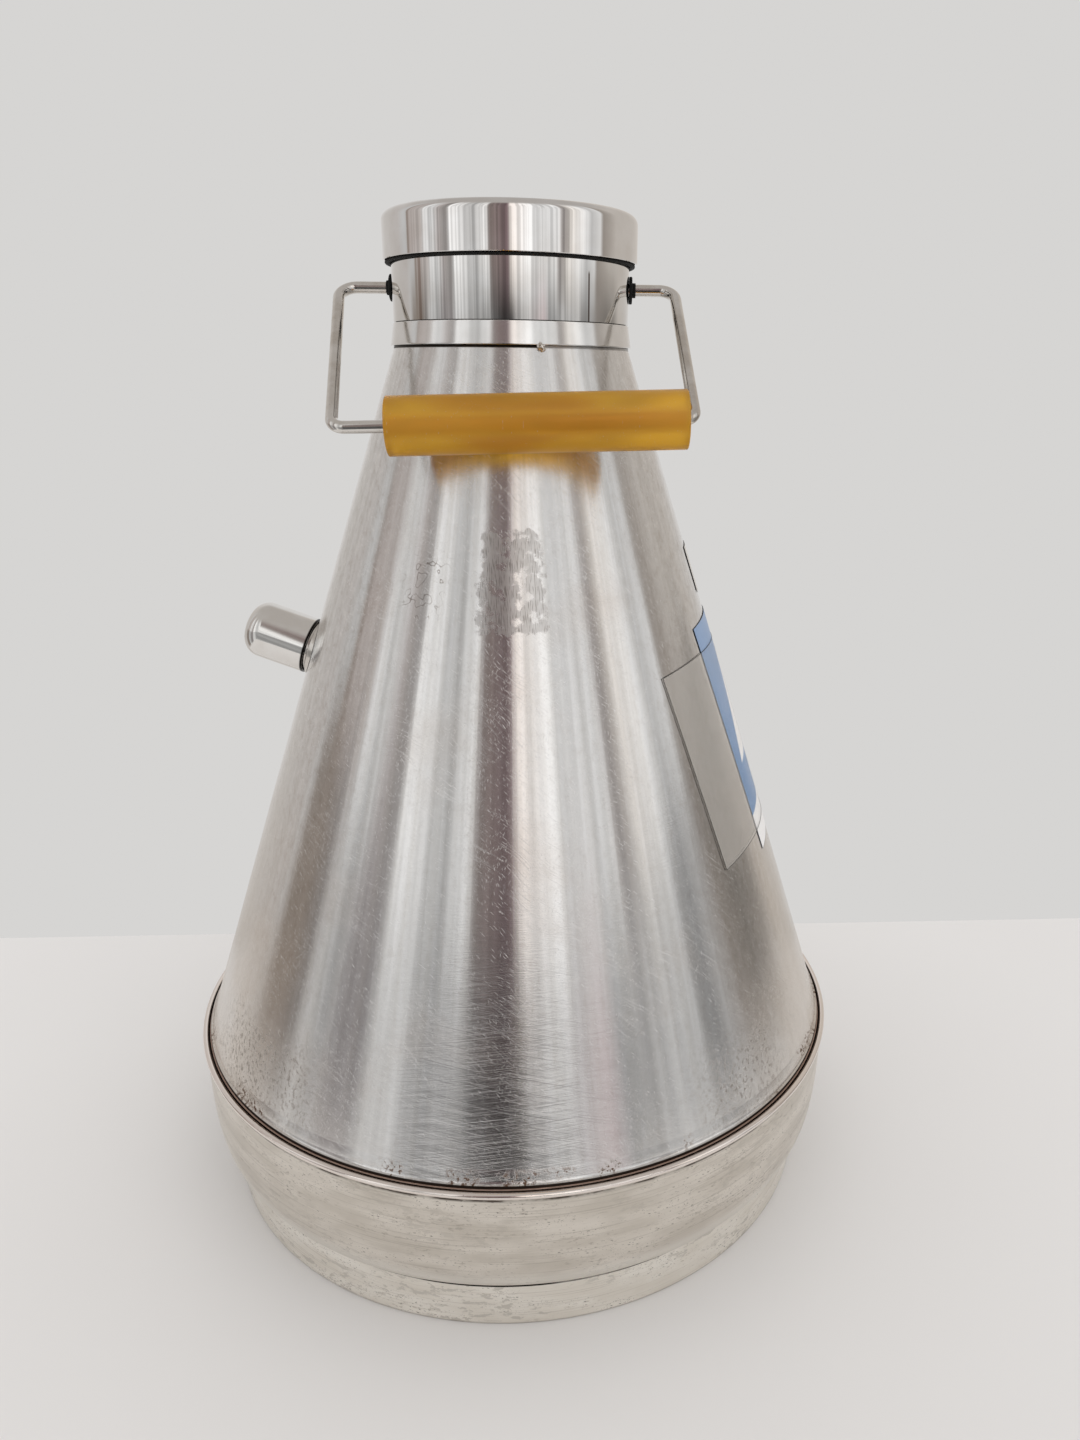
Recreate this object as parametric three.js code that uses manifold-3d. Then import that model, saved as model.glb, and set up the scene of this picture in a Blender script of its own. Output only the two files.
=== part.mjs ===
// A conical stainless steel dewar for liquid nitrogen, with a lift-out lid and
// plug, a bail handle with a rubber grip and a capped evacuation port.
// Millimetres, +Z up, origin on the floor under the vessel's axis, front towards -Y.
import * as THREE from 'three';
import { mergeVertices } from 'three/addons/utils/BufferGeometryUtils.js';
import Module from 'manifold-3d';

const wasm = await Module();
wasm.setup();

// Clearances shared by all pieces
const seam = 0.3;
const runningGap = 0.4;
const cutOverrun = 4;

// Outer shell
const sheet = 1.5;
const bowlShoulderDiameter = 417;
const footInset = 14.5;
const footHeight = 32;
const footFlangeReach = 7;
const bowlFloorSag = 14;
const bowlFloorSagShare = 0.25;
const bowlRoundness = 3;
const lipReach = 2;
const lipRollDiameter = 4;
const lipRollStart = -60;
const lipRollEnd = 120;
const lipHeight = 101.5;
const lipShelfReach = 3;
const coneInset = 4.5;
const coneLedgeReach = 3.5;
const coneLedgeFillet = 2.2;
const coneLedgeFilletShare = 0.125;
const coneTopHeight = 522.3;
const coneTuckHeight = 8;
const collarHeight = 12.2;
const neckLength = 52.9;
const tackDiameter = 4;
const tackAngle = -72.4;

// Inner flask and what lies in the vacuum space
const flaskWall = 1.2;
const neckTubeBore = 96;
const neckTubeWall = 1;
const neckTubeOverlap = 7;
const neckRingThickness = 2;
const vacuumGap = 24;
const shoulderDrop = 82.3;
const shoulderCrown = 13;
const shoulderCrownShare = 0.75;
const flaskSeamRise = 9.5;
const wrapClearance = 4;
const wrapOnFlask = 0.4;
const baseWrapThickness = 13;
const neckWrapThickness = 6;
const neckWrapClearance = 2.6;
const trayInnerDiameter = 84;
const trayOuterDiameter = 136;
const trayHeight = 9;
const trayWall = 1;
const snubberDiameter = 50;
const snubberHeight = 24.3;

// Lid and plug
const lidSkirtHeight = 25.5;
const lidEdgeRadius = 5;
const gasketThickness = 3;
const gasketSkirtThickness = 2.3;
const gasketShow = 0.5;
const plugLength = 104;
const plugClearance = 1.5;
const plugVentCount = 3;
const plugVentRadius = 4;
const discThickness = 2;
const discMargin = 6;
const studDiameter = 8;
const nutWidth = 14;
const nutHeight = 7;
const studTail = 2;

// Bail handle and grip
const rodDiameter = 6.5;
const pivotRise = 19.5;
const leftArmLength = 124;
const rightArmLength = 114;
const leftArmReach = 31.2;
const rightArmReach = 26;
const barLeftReach = 84;
const barRightReach = 101;
const pivotBendRadius = 9.5;
const barLeftBendRadius = 7;
const barRightBendRadius = 6;
const socketDiameter = 10.5;
const socketDepth = 8;
const socketFloor = 1.2;
const washerDiameter = 15;
const washerThickness = 2.6;
const washerHubDiameter = 9.4;
const washerHubLength = 1.8;
const gripDiameter = 30;
const gripBore = 9;
const gripLength = 153;
const gripOverBend = 2;
const gripSeatGap = 0.35;

// Evacuation port, on the left side and turned a little to the back
const portHeight = 337.5;
const portAzimuth = 175.2;
const portFlangeDiameter = 36.5;
const portFlangeThickness = 3;
const portTubeDiameter = 32;
const portTubeLength = 30;
const portPlugHeadDiameter = 30.6;
const portPlugHeadThickness = 3;
const portPlugDepth = 13;
const portKnobDiameter = 25;
const portKnobHeight = 9;
const portRingSection = 1.8;
const portRingSqueeze = 0.25;
const capDiameter = 36;
const capLength = 42;
const capStandOff = 4.9;
const capEndRadius = 11;

// Labels on the right side: flat sheets wrapped on the cone, bare of any print
const labelThickness = 0.3;
const largeLabel = { width: 105, height: 148, azimuth: 1 };
const clearLabel = { width: 143, height: 119, azimuth: -12 };
const upperLabel = { width: 50, height: 29, azimuth: 4.4 };
const labelHeight = 300;
const clearLabelDrop = 3;
const upperLabelGap = 13.5;

// Counts of facets
const shellSides = 40;
const tubeSides = 24;
const rodSides = 12;
const boreSides = 16;
const bendSteps = 5;
const curveSteps = 6;
const edgeSteps = 4;
const labelSteps = 12;
const labelRows = 3;
const nutSides = 6;

// Radii and heights that follow from the sizes above
const bowlShoulderRadius = bowlShoulderDiameter / 2;
const footRadius = bowlShoulderRadius - footInset;
const bowlBottom = footHeight + seam;
const bowlFloorEdge = footRadius - footFlangeReach;
const lipRadius = bowlShoulderRadius + lipReach;
const lipRollRadius = lipRollDiameter / 2;
const coneBottomRadius = bowlShoulderRadius - coneInset;
const neckTubeInner = neckTubeBore / 2;
const neckTubeOuter = neckTubeInner + neckTubeWall;
const neckWrapRadius = neckTubeOuter + wrapOnFlask + neckWrapThickness;
const neckRadius = neckWrapRadius + neckWrapClearance + socketFloor + socketDepth + seam;
const coneTopRadius = neckRadius;
const lidRadius = neckRadius + runningGap + gasketSkirtThickness + seam + sheet;
const rodRadius = rodDiameter / 2;
const degrees = Math.PI / 180;
const shelfTop = lipHeight + lipRollRadius * Math.sin(lipRollEnd * degrees);
const ledgeBottom = shelfTop + seam;
const ledgeTop = ledgeBottom + sheet;
const coneSlope = (coneBottomRadius - coneTopRadius) / (coneTopHeight - ledgeTop);
const coneAngle = Math.atan(coneSlope);
const neckFoot = coneTopHeight + collarHeight;
const neckTop = neckFoot + neckLength;
const pivotHeight = neckFoot + pivotRise;
const gasketTop = neckTop + seam + gasketThickness;
const lidUnderside = gasketTop + seam;
const vesselHeight = lidUnderside + sheet;
const collarBottomRadius = coneTopRadius + runningGap + sheet;
const leftArmSpan = neckRadius + leftArmReach;
const rightArmSpan = neckRadius + rightArmReach;

function coneRadius(height) {
  return coneTopRadius + coneSlope * (coneTopHeight - height);
}

// Corner radius that a bore of flat sides needs to clear a round rod of this radius
function boreRadius(radius, sides) {
  return radius / Math.cos(Math.PI / sides);
}

// A solid of revolution about Z from [radius, height] points, listed anticlockwise
function revolve(points, sides) {
  const outline = points.map(([radius, height]) => new THREE.Vector2(radius, height));
  const geometry = new THREE.LatheGeometry(outline, sides);
  geometry.rotateX(Math.PI / 2);
  return geometry;
}

// A closed outline of revolution from [radius, height] points
function revolveRing(points, sides) {
  return revolve([...points, points[0]], sides);
}

function tube(inner, outer, bottom, top, sides) {
  return revolveRing([[inner, bottom], [outer, bottom], [outer, top], [inner, top]], sides);
}

function rod(radius, bottom, top, sides) {
  return revolve([[0, bottom], [radius, bottom], [radius, top], [0, top]], sides);
}

// Points of an arc about [radius, height], from one angle to another in degrees
function arc(centreRadius, centreHeight, arcRadius, from, to, steps) {
  const points = [];
  for (let step = 0; step <= steps; step += 1) {
    const angle = (from + (to - from) * step / steps) * degrees;
    points.push([centreRadius + arcRadius * Math.cos(angle), centreHeight + arcRadius * Math.sin(angle)]);
  }
  return points;
}

// A closed mesh as a solid that can be cut
function toSolid(geometry) {
  const bare = geometry.clone();
  bare.deleteAttribute('normal');
  bare.deleteAttribute('uv');
  const merged = mergeVertices(bare);
  const corners = merged.index.array;
  const kept = [];
  for (let face = 0; face < corners.length; face += 3) {
    const [a, b, c] = corners.slice(face, face + 3);
    if (a !== b && b !== c && c !== a) {
      kept.push(a, b, c);
    }
  }
  const vertProperties = new Float32Array(merged.attributes.position.array);
  const mesh = new wasm.Mesh({ numProp: 3, vertProperties, triVerts: new Uint32Array(kept) });
  return new wasm.Manifold(mesh);
}

// A cut solid back as a three.js geometry
function toGeometry(solid) {
  const mesh = solid.getMesh();
  const geometry = new THREE.BufferGeometry();
  geometry.setAttribute('position', new THREE.BufferAttribute(mesh.vertProperties, mesh.numProp));
  geometry.setIndex(new THREE.BufferAttribute(mesh.triVerts, 1));
  geometry.computeVertexNormals();
  return geometry;
}

function cut(geometry, ...cutters) {
  let solid = toSolid(geometry);
  for (const cutter of cutters) {
    solid = solid.subtract(toSolid(cutter));
  }
  return toGeometry(solid);
}

// A path sampled at its own points, so that bends keep their steps and straights need none
class PointPath extends THREE.Curve {
  constructor(points) {
    super();
    this.points = points;
  }

  getPoint(share, target = new THREE.Vector3()) {
    const last = this.points.length - 1;
    const index = Math.min(Math.floor(share * last), last - 1);
    return target.lerpVectors(this.points[index], this.points[index + 1], share * last - index);
  }

  getUtoTmapping(share) {
    return share;
  }
}

// Corners joined by round bends of the given radii
function roundedPath(corners, radii) {
  const points = [corners[0]];
  for (let index = 1; index < corners.length - 1; index += 1) {
    const back = corners[index - 1].clone().sub(corners[index]).normalize();
    const on = corners[index + 1].clone().sub(corners[index]).normalize();
    const halfAngle = back.angleTo(on) / 2;
    const tangent = radii[index - 1] / Math.tan(halfAngle);
    const middle = back.clone().add(on).normalize();
    const centre = corners[index].clone().addScaledVector(middle, radii[index - 1] / Math.sin(halfAngle));
    const start = corners[index].clone().addScaledVector(back, tangent).sub(centre);
    const end = corners[index].clone().addScaledVector(on, tangent).sub(centre);
    const turn = start.angleTo(end);
    for (let step = 0; step <= bendSteps; step += 1) {
      const angle = turn * step / bendSteps;
      const arm = start.clone().multiplyScalar(Math.sin(turn - angle) / Math.sin(turn));
      arm.addScaledVector(end, Math.sin(angle) / Math.sin(turn));
      points.push(arm.add(centre));
    }
  }
  points.push(corners[corners.length - 1]);
  return points;
}

function roundSection(radius, sides) {
  const shape = new THREE.Shape();
  for (let side = 0; side < sides; side += 1) {
    const angle = 2 * Math.PI * side / sides;
    const x = radius * Math.cos(angle);
    const y = radius * Math.sin(angle);
    if (side === 0) {
      shape.moveTo(x, y);
    } else {
      shape.lineTo(x, y);
    }
  }
  shape.closePath();
  return shape;
}

const steel = { roughness: 0.32, metalness: 1 };
const materials = {
  coneSteel: { color: 0xb9b6b0, ...steel },
  baseSteel: { color: 0xbfb8ac, roughness: 0.45, metalness: 1 },
  polishedSteel: { color: 0xcfccc7, roughness: 0.1, metalness: 1 },
  rodSteel: { color: 0xb4aea2, roughness: 0.28, metalness: 1 },
  innerSteel: { color: 0xa9aaab, ...steel },
  foil: { color: 0xd8d8d4, roughness: 0.5, metalness: 0.8 },
  tray: { color: 0x8f8a80, roughness: 0.6, metalness: 0.6 },
  blackRubber: { color: 0x1b1b1b, roughness: 0.75, metalness: 0 },
  amberRubber: { color: 0xb8822d, roughness: 0.35, metalness: 0 },
  foam: { color: 0xe9e6dc, roughness: 0.9, metalness: 0 },
  fibre: { color: 0x7d8a63, roughness: 0.7, metalness: 0 },
  blueLabel: { color: 0x6f97cf, roughness: 0.35, metalness: 0 },
  clearLabel: { color: 0xb4aea3, roughness: 0.3, metalness: 0 },
};

function piece(name, geometry, look) {
  const mesh = new THREE.Mesh(geometry, new THREE.MeshStandardMaterial(materials[look]));
  mesh.name = name;
  return mesh;
}

// Where the port stands on the cone, with its own Z along the cone's normal
function placeAtPort(object) {
  const azimuth = portAzimuth * degrees;
  const radius = coneRadius(portHeight);
  object.position.set(radius * Math.cos(azimuth), radius * Math.sin(azimuth), portHeight);
  object.rotation.set(0, Math.PI / 2 - coneAngle, azimuth, 'ZYX');
  object.updateMatrix();
  return object;
}

function atPort(geometry) {
  const placed = geometry.clone();
  placed.applyMatrix4(placeAtPort(new THREE.Object3D()).matrix);
  return placed;
}

// Outside of the cone, collar and neck grown by a gap: pieces seated on them are cut by it
function shellCutter(gap) {
  const low = ledgeTop;
  return revolve([
    [0, low],
    [coneRadius(low) + gap, low],
    [coneRadius(coneTopHeight) + gap, coneTopHeight - gap],
    [collarBottomRadius + gap, coneTopHeight - gap],
    [neckRadius + gap, neckFoot],
    [neckRadius + gap, neckTop],
    [0, neckTop],
  ], shellSides);
}

// Foot: a short band with a flange turned inwards, on which the vessel stands
function footRing() {
  const inner = footRadius - sheet;
  return revolveRing([
    [footRadius - footFlangeReach, 0],
    [footRadius, 0],
    [footRadius, footHeight],
    [inner, footHeight],
    [inner, sheet],
    [footRadius - footFlangeReach, sheet],
  ], shellSides);
}

// Side of the base bowl between foot and shoulder, as a rounded curve set in by a wall
function bowlSide(inset) {
  const bottom = bowlBottom + inset;
  const top = lipHeight - lipRollRadius;
  const points = [];
  for (let step = 0; step <= curveSteps; step += 1) {
    const down = Math.sin(Math.PI / 2 * (1 - step / curveSteps));
    const share = Math.pow(1 - Math.pow(down, bowlRoundness), 1 / bowlRoundness);
    const radius = footRadius + (bowlShoulderRadius - footRadius) * share - inset;
    points.push([radius, top - (top - bottom) * down]);
  }
  return points;
}

// Base bowl: a spun pan with a sagging floor and a rolled lip
function baseBowl() {
  const rollCentre = lipRadius - lipRollRadius;
  const innerWall = bowlShoulderRadius - sheet;
  const floor = (inset) => [
    [0, bowlBottom - bowlFloorSag + inset],
    [bowlFloorEdge / 2, bowlBottom - bowlFloorSag * (1 - bowlFloorSagShare) + inset],
    [bowlFloorEdge, bowlBottom + inset],
  ];
  return revolve([
    ...floor(0),
    ...bowlSide(0),
    ...arc(rollCentre, lipHeight, lipRollRadius, lipRollStart, lipRollEnd, edgeSteps),
    [innerWall - lipShelfReach, shelfTop],
    [innerWall - lipShelfReach, shelfTop - sheet],
    [innerWall, shelfTop - sheet - lipShelfReach],
    ...bowlSide(sheet).reverse(),
    ...floor(sheet).reverse(),
  ], shellSides);
}

// Cone shell: a long cone with a small ledge at its foot, its top tucked under the collar
function coneShell() {
  const tuckTop = coneTopHeight + coneTuckHeight;
  const fillet = coneLedgeFillet;
  return revolveRing([
    [coneBottomRadius - sheet, ledgeBottom],
    [coneBottomRadius + coneLedgeReach, ledgeBottom],
    [coneBottomRadius + coneLedgeReach, ledgeTop],
    [coneBottomRadius + fillet / 2, ledgeTop + fillet * coneLedgeFilletShare],
    [coneRadius(ledgeTop + fillet), ledgeTop + fillet],
    [coneRadius(tuckTop), tuckTop],
    [coneRadius(tuckTop) - sheet, tuckTop],
    [coneRadius(ledgeTop) - sheet, ledgeTop],
  ], shellSides);
}

function outerCone() {
  const hole = rod(portTubeDiameter / 2 + seam, -portTubeDiameter, portTubeDiameter, tubeSides);
  return cut(coneShell(), atPort(hole));
}

// Collar: a conical band that covers the joint of cone and neck
function collarRing() {
  return revolveRing([
    [collarBottomRadius - sheet, coneTopHeight],
    [collarBottomRadius, coneTopHeight],
    [neckRadius, neckFoot],
    [neckRadius - sheet, neckFoot],
  ], shellSides);
}

// Tack weld: a small bead of weld metal that holds the collar's edge to the cone
function collarTackWeld() {
  const radius = tackDiameter / 2;
  const bead = revolve(arc(0, 0, radius, -90, 90, curveSteps), rodSides);
  const azimuth = tackAngle * degrees;
  const reach = collarBottomRadius;
  bead.translate(reach * Math.cos(azimuth), reach * Math.sin(azimuth), coneTopHeight);
  return cut(bead, shellCutter(seam));
}

// Neck: a polished sleeve with a hole on each side for the bail's sockets
function neckSleeve() {
  const shell = tube(neckRadius - sheet, neckRadius, neckFoot + seam, neckTop, shellSides);
  const hole = rod(socketDiameter / 2 + seam, -neckRadius - cutOverrun, neckRadius + cutOverrun, tubeSides);
  hole.rotateY(Math.PI / 2);
  hole.translate(0, 0, pivotHeight);
  return cut(shell, hole);
}

function neckTopRing() {
  const bottom = neckTop - neckRingThickness;
  return tube(neckTubeOuter + seam, neckRadius - sheet - seam, bottom, neckTop, shellSides);
}

function neckTube() {
  return tube(neckTubeInner, neckTubeOuter, neckTubeBottom, neckTop, shellSides);
}

const shoulderHeight = coneTopHeight - shoulderDrop;
const crownTop = shoulderHeight + shoulderCrown;
const neckTubeBottom = crownTop - neckTubeOverlap;
const flaskSeamHeight = ledgeBottom + flaskSeamRise;
const snubberRise = bowlFloorSag * bowlFloorSagShare * snubberDiameter / bowlFloorEdge;
const snubberBottom = bowlBottom - bowlFloorSag + sheet + snubberRise + seam;
const flaskBottom = snubberBottom + snubberHeight + seam;
const flaskDishDepth = flaskSeamHeight - flaskBottom;

function flaskRadius(height) {
  return coneRadius(height) - vacuumGap;
}

// Upper part of the inner flask: a cone that follows the shell, with a crown round the neck tube
function innerShoulder() {
  const hole = neckTubeOuter + seam;
  const crownRadius = (flaskRadius(shoulderHeight) + hole) / 2;
  const crownMiddle = [crownRadius, shoulderHeight + shoulderCrown * shoulderCrownShare];
  return revolveRing([
    [flaskRadius(flaskSeamHeight + seam) - flaskWall, flaskSeamHeight + seam],
    [flaskRadius(flaskSeamHeight + seam), flaskSeamHeight + seam],
    [flaskRadius(shoulderHeight), shoulderHeight],
    crownMiddle,
    [hole, crownTop],
    [hole, crownTop - flaskWall],
    [crownMiddle[0] - flaskWall / 2, crownMiddle[1] - flaskWall],
    [flaskRadius(shoulderHeight) - flaskWall, shoulderHeight - flaskWall / 2],
  ], shellSides);
}

// Points of a dish that hangs from the flask's seam, grown outwards by a thickness
function dish(grown) {
  const points = [];
  for (let step = 0; step <= curveSteps; step += 1) {
    const angle = Math.PI / 2 * step / curveSteps;
    const radius = (flaskRadius(flaskSeamHeight) + grown) * Math.sin(angle);
    points.push([radius, flaskSeamHeight - (flaskDishDepth + grown) * Math.cos(angle)]);
  }
  return points;
}

function innerBase() {
  return revolve([...dish(0), ...dish(-flaskWall).reverse()], shellSides);
}

// Insulation: many layers of foil and paper, wound on the flask, as one soft shell each
function coneInsulation() {
  const bottom = flaskSeamHeight + seam;
  const top = shoulderHeight;
  const outer = (height) => coneRadius(height) - sheet - wrapClearance;
  const inner = (height) => flaskRadius(height) + wrapOnFlask;
  return revolveRing([
    [inner(bottom), bottom],
    [outer(bottom), bottom],
    [outer(top), top],
    [inner(top), top],
  ], shellSides);
}

function baseInsulation() {
  const shell = revolve([...dish(baseWrapThickness), ...dish(wrapOnFlask).reverse()], shellSides);
  const hole = rod(trayOuterDiameter / 2 + runningGap, 0, flaskSeamHeight - cutOverrun, shellSides);
  return cut(shell, hole);
}

function neckInsulation() {
  const bottom = crownTop + seam;
  const top = neckTop - neckRingThickness - seam;
  return tube(neckTubeOuter + wrapOnFlask, neckWrapRadius, bottom, top, shellSides);
}

// Sorbent tray: a closed ring of sheet under the flask that holds the gas-binding grains
function sorbentTray() {
  const inner = trayInnerDiameter / 2;
  const outer = trayOuterDiameter / 2;
  const top = flaskBottom - seam;
  const bottom = top - trayHeight;
  return revolveRing([
    [inner, bottom],
    [outer, bottom],
    [outer, top],
    [outer - trayWall, top],
    [outer - trayWall, bottom + trayWall],
    [inner + trayWall, bottom + trayWall],
    [inner + trayWall, top],
    [inner, top],
  ], shellSides);
}

// Snubber: a stiff fibre puck that centres the flask's bottom in the bowl
function baseSnubber() {
  return rod(snubberDiameter / 2, snubberBottom, flaskBottom - seam, tubeSides);
}

// Lid: a shallow pressed cap with a rounded top edge
function lidCap() {
  const inner = lidRadius - sheet;
  const edge = [lidRadius - lidEdgeRadius, vesselHeight - lidEdgeRadius];
  const outerArc = arc(...edge, lidEdgeRadius, 0, 90, edgeSteps);
  const innerArc = arc(...edge, lidEdgeRadius - sheet, 0, 90, edgeSteps);
  const bottom = vesselHeight - lidSkirtHeight;
  return revolve([
    [0, lidUnderside],
    ...innerArc.reverse(),
    [inner, bottom],
    [lidRadius, bottom],
    ...outerArc,
    [0, vesselHeight],
  ], shellSides);
}

// Gasket: a black rubber ring over the neck's top, with a skirt between neck and lid
function lidGasket() {
  const inner = neckTubeInner - plugClearance / 2;
  const skirtInner = neckRadius + runningGap;
  const skirtOuter = lidRadius - sheet - seam;
  const bottom = vesselHeight - lidSkirtHeight - gasketShow;
  const shoulder = gasketTop - lidEdgeRadius;
  return revolveRing([
    [inner, gasketTop - gasketThickness],
    [skirtInner, gasketTop - gasketThickness],
    [skirtInner, bottom],
    [skirtOuter, bottom],
    [skirtOuter, shoulder],
    [skirtOuter - lidEdgeRadius, gasketTop],
    [inner, gasketTop],
  ], shellSides);
}

const plugRadius = neckTubeInner - plugClearance;
const plugBottom = gasketTop - plugLength;

// Plug: a foam core with vent flutes down its side, so that boiled-off gas can leave
function plugCore() {
  const inner = studDiameter / 2 + runningGap;
  const core = tube(inner, plugRadius, plugBottom, gasketTop - gasketThickness - seam, shellSides);
  const flutes = [];
  for (let index = 0; index < plugVentCount; index += 1) {
    const angle = 2 * Math.PI * index / plugVentCount;
    const flute = rod(plugVentRadius, plugBottom - cutOverrun, gasketTop + cutOverrun, rodSides);
    flute.translate(plugRadius * Math.cos(angle), plugRadius * Math.sin(angle), 0);
    flutes.push(flute);
  }
  return cut(core, ...flutes);
}

function plugHeadDisc() {
  const inner = studDiameter / 2 + runningGap;
  const outer = neckTubeInner - plugClearance / 2 - runningGap;
  return tube(inner, outer, gasketTop - gasketThickness, gasketTop, shellSides);
}

function plugBaseDisc() {
  const top = plugBottom - seam;
  return tube(studDiameter / 2 + runningGap, plugRadius - discMargin, top - discThickness, top, shellSides);
}

const nutTop = plugBottom - 2 * seam - discThickness;

// Stud: welded to the lid's underside, it runs down through the foam to the nut
function plugStud() {
  return rod(studDiameter / 2, nutTop - nutHeight - studTail, lidUnderside - seam, boreSides);
}

function plugNut() {
  const corner = nutWidth / 2 / Math.cos(Math.PI / nutSides);
  const body = rod(corner, nutTop - nutHeight, nutTop, nutSides);
  const bore = boreRadius(studDiameter / 2 + seam, boreSides);
  return cut(body, rod(bore, nutTop - nutHeight - cutOverrun, nutTop + cutOverrun, boreSides));
}

// Pivot socket: a small cup welded into the neck wall, in which the bail's end turns
function pivotSocket(side) {
  const inner = boreRadius(rodRadius + seam, boreSides);
  const outer = socketDiameter / 2;
  const mouth = neckRadius - seam;
  const floor = mouth - socketDepth;
  const cup = revolve([
    [0, floor - socketFloor],
    [outer, floor - socketFloor],
    [outer, mouth],
    [inner, mouth],
    [inner, floor],
    [0, floor],
  ], boreSides);
  cup.rotateY(side * Math.PI / 2);
  cup.translate(0, 0, pivotHeight);
  return cup;
}

// Pivot washer: a rubber disc with a hub round the rod, close against the neck
function pivotWasher(side) {
  const inner = boreRadius(rodRadius + seam, boreSides);
  const start = neckRadius + seam;
  const ring = revolveRing([
    [inner, start],
    [washerDiameter / 2, start],
    [washerDiameter / 2, start + washerThickness],
    [washerHubDiameter / 2, start + washerThickness],
    [washerHubDiameter / 2, start + washerThickness + washerHubLength],
    [inner, start + washerThickness + washerHubLength],
  ], tubeSides);
  ring.rotateY(side * Math.PI / 2);
  ring.translate(0, 0, pivotHeight);
  return ring;
}

// Bail: one bent rod, modelled hanging straight down from its pivots
function bailHandle() {
  const end = neckRadius - seam - socketDepth + runningGap + seam;
  const corners = [
    new THREE.Vector3(-end, 0, 0),
    new THREE.Vector3(-leftArmSpan, 0, 0),
    new THREE.Vector3(-barLeftReach, 0, -leftArmLength),
    new THREE.Vector3(barRightReach, 0, -rightArmLength),
    new THREE.Vector3(rightArmSpan, 0, 0),
    new THREE.Vector3(end, 0, 0),
  ];
  const radii = [pivotBendRadius, barLeftBendRadius, barRightBendRadius, pivotBendRadius];
  const points = roundedPath(corners, radii);
  const settings = { steps: points.length - 1, extrudePath: new PointPath(points), bevelEnabled: false };
  return new THREE.ExtrudeGeometry(roundSection(rodRadius, rodSides), settings);
}

// Tilt of the bar, whose right end is the higher one because the right arm is shorter
const barTilt = Math.atan((leftArmLength - rightArmLength) / (barLeftReach + barRightReach));

// Grip: a thick amber rubber tube, loose on the bail's bar and slid to its right end
function gripTube() {
  const sleeve = tube(gripBore / 2, gripDiameter / 2, -gripLength / 2, gripLength / 2, tubeSides);
  const right = barRightReach - barRightBendRadius + gripOverBend;
  sleeve.rotateY(Math.PI / 2);
  sleeve.translate(barRightReach - right + gripLength / 2, 0, 0);
  sleeve.rotateZ(Math.PI);
  sleeve.rotateY(-barTilt);
  sleeve.translate(barRightReach, 0, -rightArmLength);
  return sleeve;
}

// How far the bail hangs forward of straight down when its grip lies on the cone
function bailRestAngle() {
  const clear = gripDiameter / 2 + gripSeatGap;
  const toCone = coneRadius(pivotHeight) * Math.cos(coneAngle);
  const armAtMiddle = rightArmLength + barRightReach * Math.tan(barTilt);
  return coneAngle + Math.asin((clear + toCone) / armAtMiddle);
}

// Port flange: a weld ring that follows the cone round the port tube
function portFlange() {
  const inner = boreRadius(portTubeDiameter / 2 + seam, tubeSides);
  const ring = tube(inner, portFlangeDiameter / 2, -cutOverrun, portFlangeThickness, tubeSides);
  ring.applyMatrix4(placeAtPort(new THREE.Object3D()).matrix);
  const inverse = placeAtPort(new THREE.Object3D()).matrix.clone().invert();
  const seated = cut(ring, shellCutter(seam));
  seated.applyMatrix4(inverse);
  return seated;
}

const portTubeInner = portTubeDiameter / 2 - sheet;

function portTube() {
  return tube(portTubeInner, portTubeDiameter / 2, -sheet * 2, portTubeLength, tubeSides);
}

const portRingRadius = portTubeInner - runningGap - portRingSection / 2;

// Port plug: it seals the pumped space with an O-ring, and has a knob to pull it by
function portPlug() {
  const body = portTubeInner - runningGap;
  const groove = portRingRadius - portRingSection / 2 - portRingSqueeze;
  const bottom = portTubeLength + seam - portPlugDepth;
  const middle = portTubeLength + seam - portPlugDepth / 2;
  const half = portRingSection / 2 + portRingSqueeze;
  const headTop = portTubeLength + seam + portPlugHeadThickness;
  return revolve([
    [0, bottom],
    [body, bottom],
    [body, middle - half],
    [groove, middle - half],
    [groove, middle + half],
    [body, middle + half],
    [body, portTubeLength + seam],
    [portPlugHeadDiameter / 2, portTubeLength + seam],
    [portPlugHeadDiameter / 2, headTop],
    [portKnobDiameter / 2, headTop],
    [portKnobDiameter / 2, headTop + portKnobHeight],
    [0, headTop + portKnobHeight],
  ], tubeSides);
}

function portPlugRing() {
  const middle = portTubeLength + seam - portPlugDepth / 2;
  const section = arc(portRingRadius, middle, portRingSection / 2, 0, 360, curveSteps);
  return revolveRing(section.slice(0, curveSteps), tubeSides);
}

// Port cap: a deep cup with a rounded end that slides on the port tube
function portCap() {
  const outer = capDiameter / 2;
  const inner = outer - sheet;
  const end = capStandOff + capLength;
  const centre = outer - capEndRadius;
  return revolve([
    [0, end - sheet],
    ...arc(centre, end - capEndRadius, capEndRadius - sheet, 0, 90, edgeSteps).reverse(),
    [inner, capStandOff],
    [outer, capStandOff],
    ...arc(centre, end - capEndRadius, capEndRadius, 0, 90, edgeSteps),
    [0, end],
  ], tubeSides);
}

const apexHeight = coneTopHeight + coneTopRadius / coneSlope;
const largeSlant = (apexHeight - labelHeight) / Math.cos(coneAngle);
const clearSlant = largeSlant + clearLabelDrop;
const upperSlant = largeSlant - largeLabel.height / 2 - upperLabelGap - upperLabel.height / 2;

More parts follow.
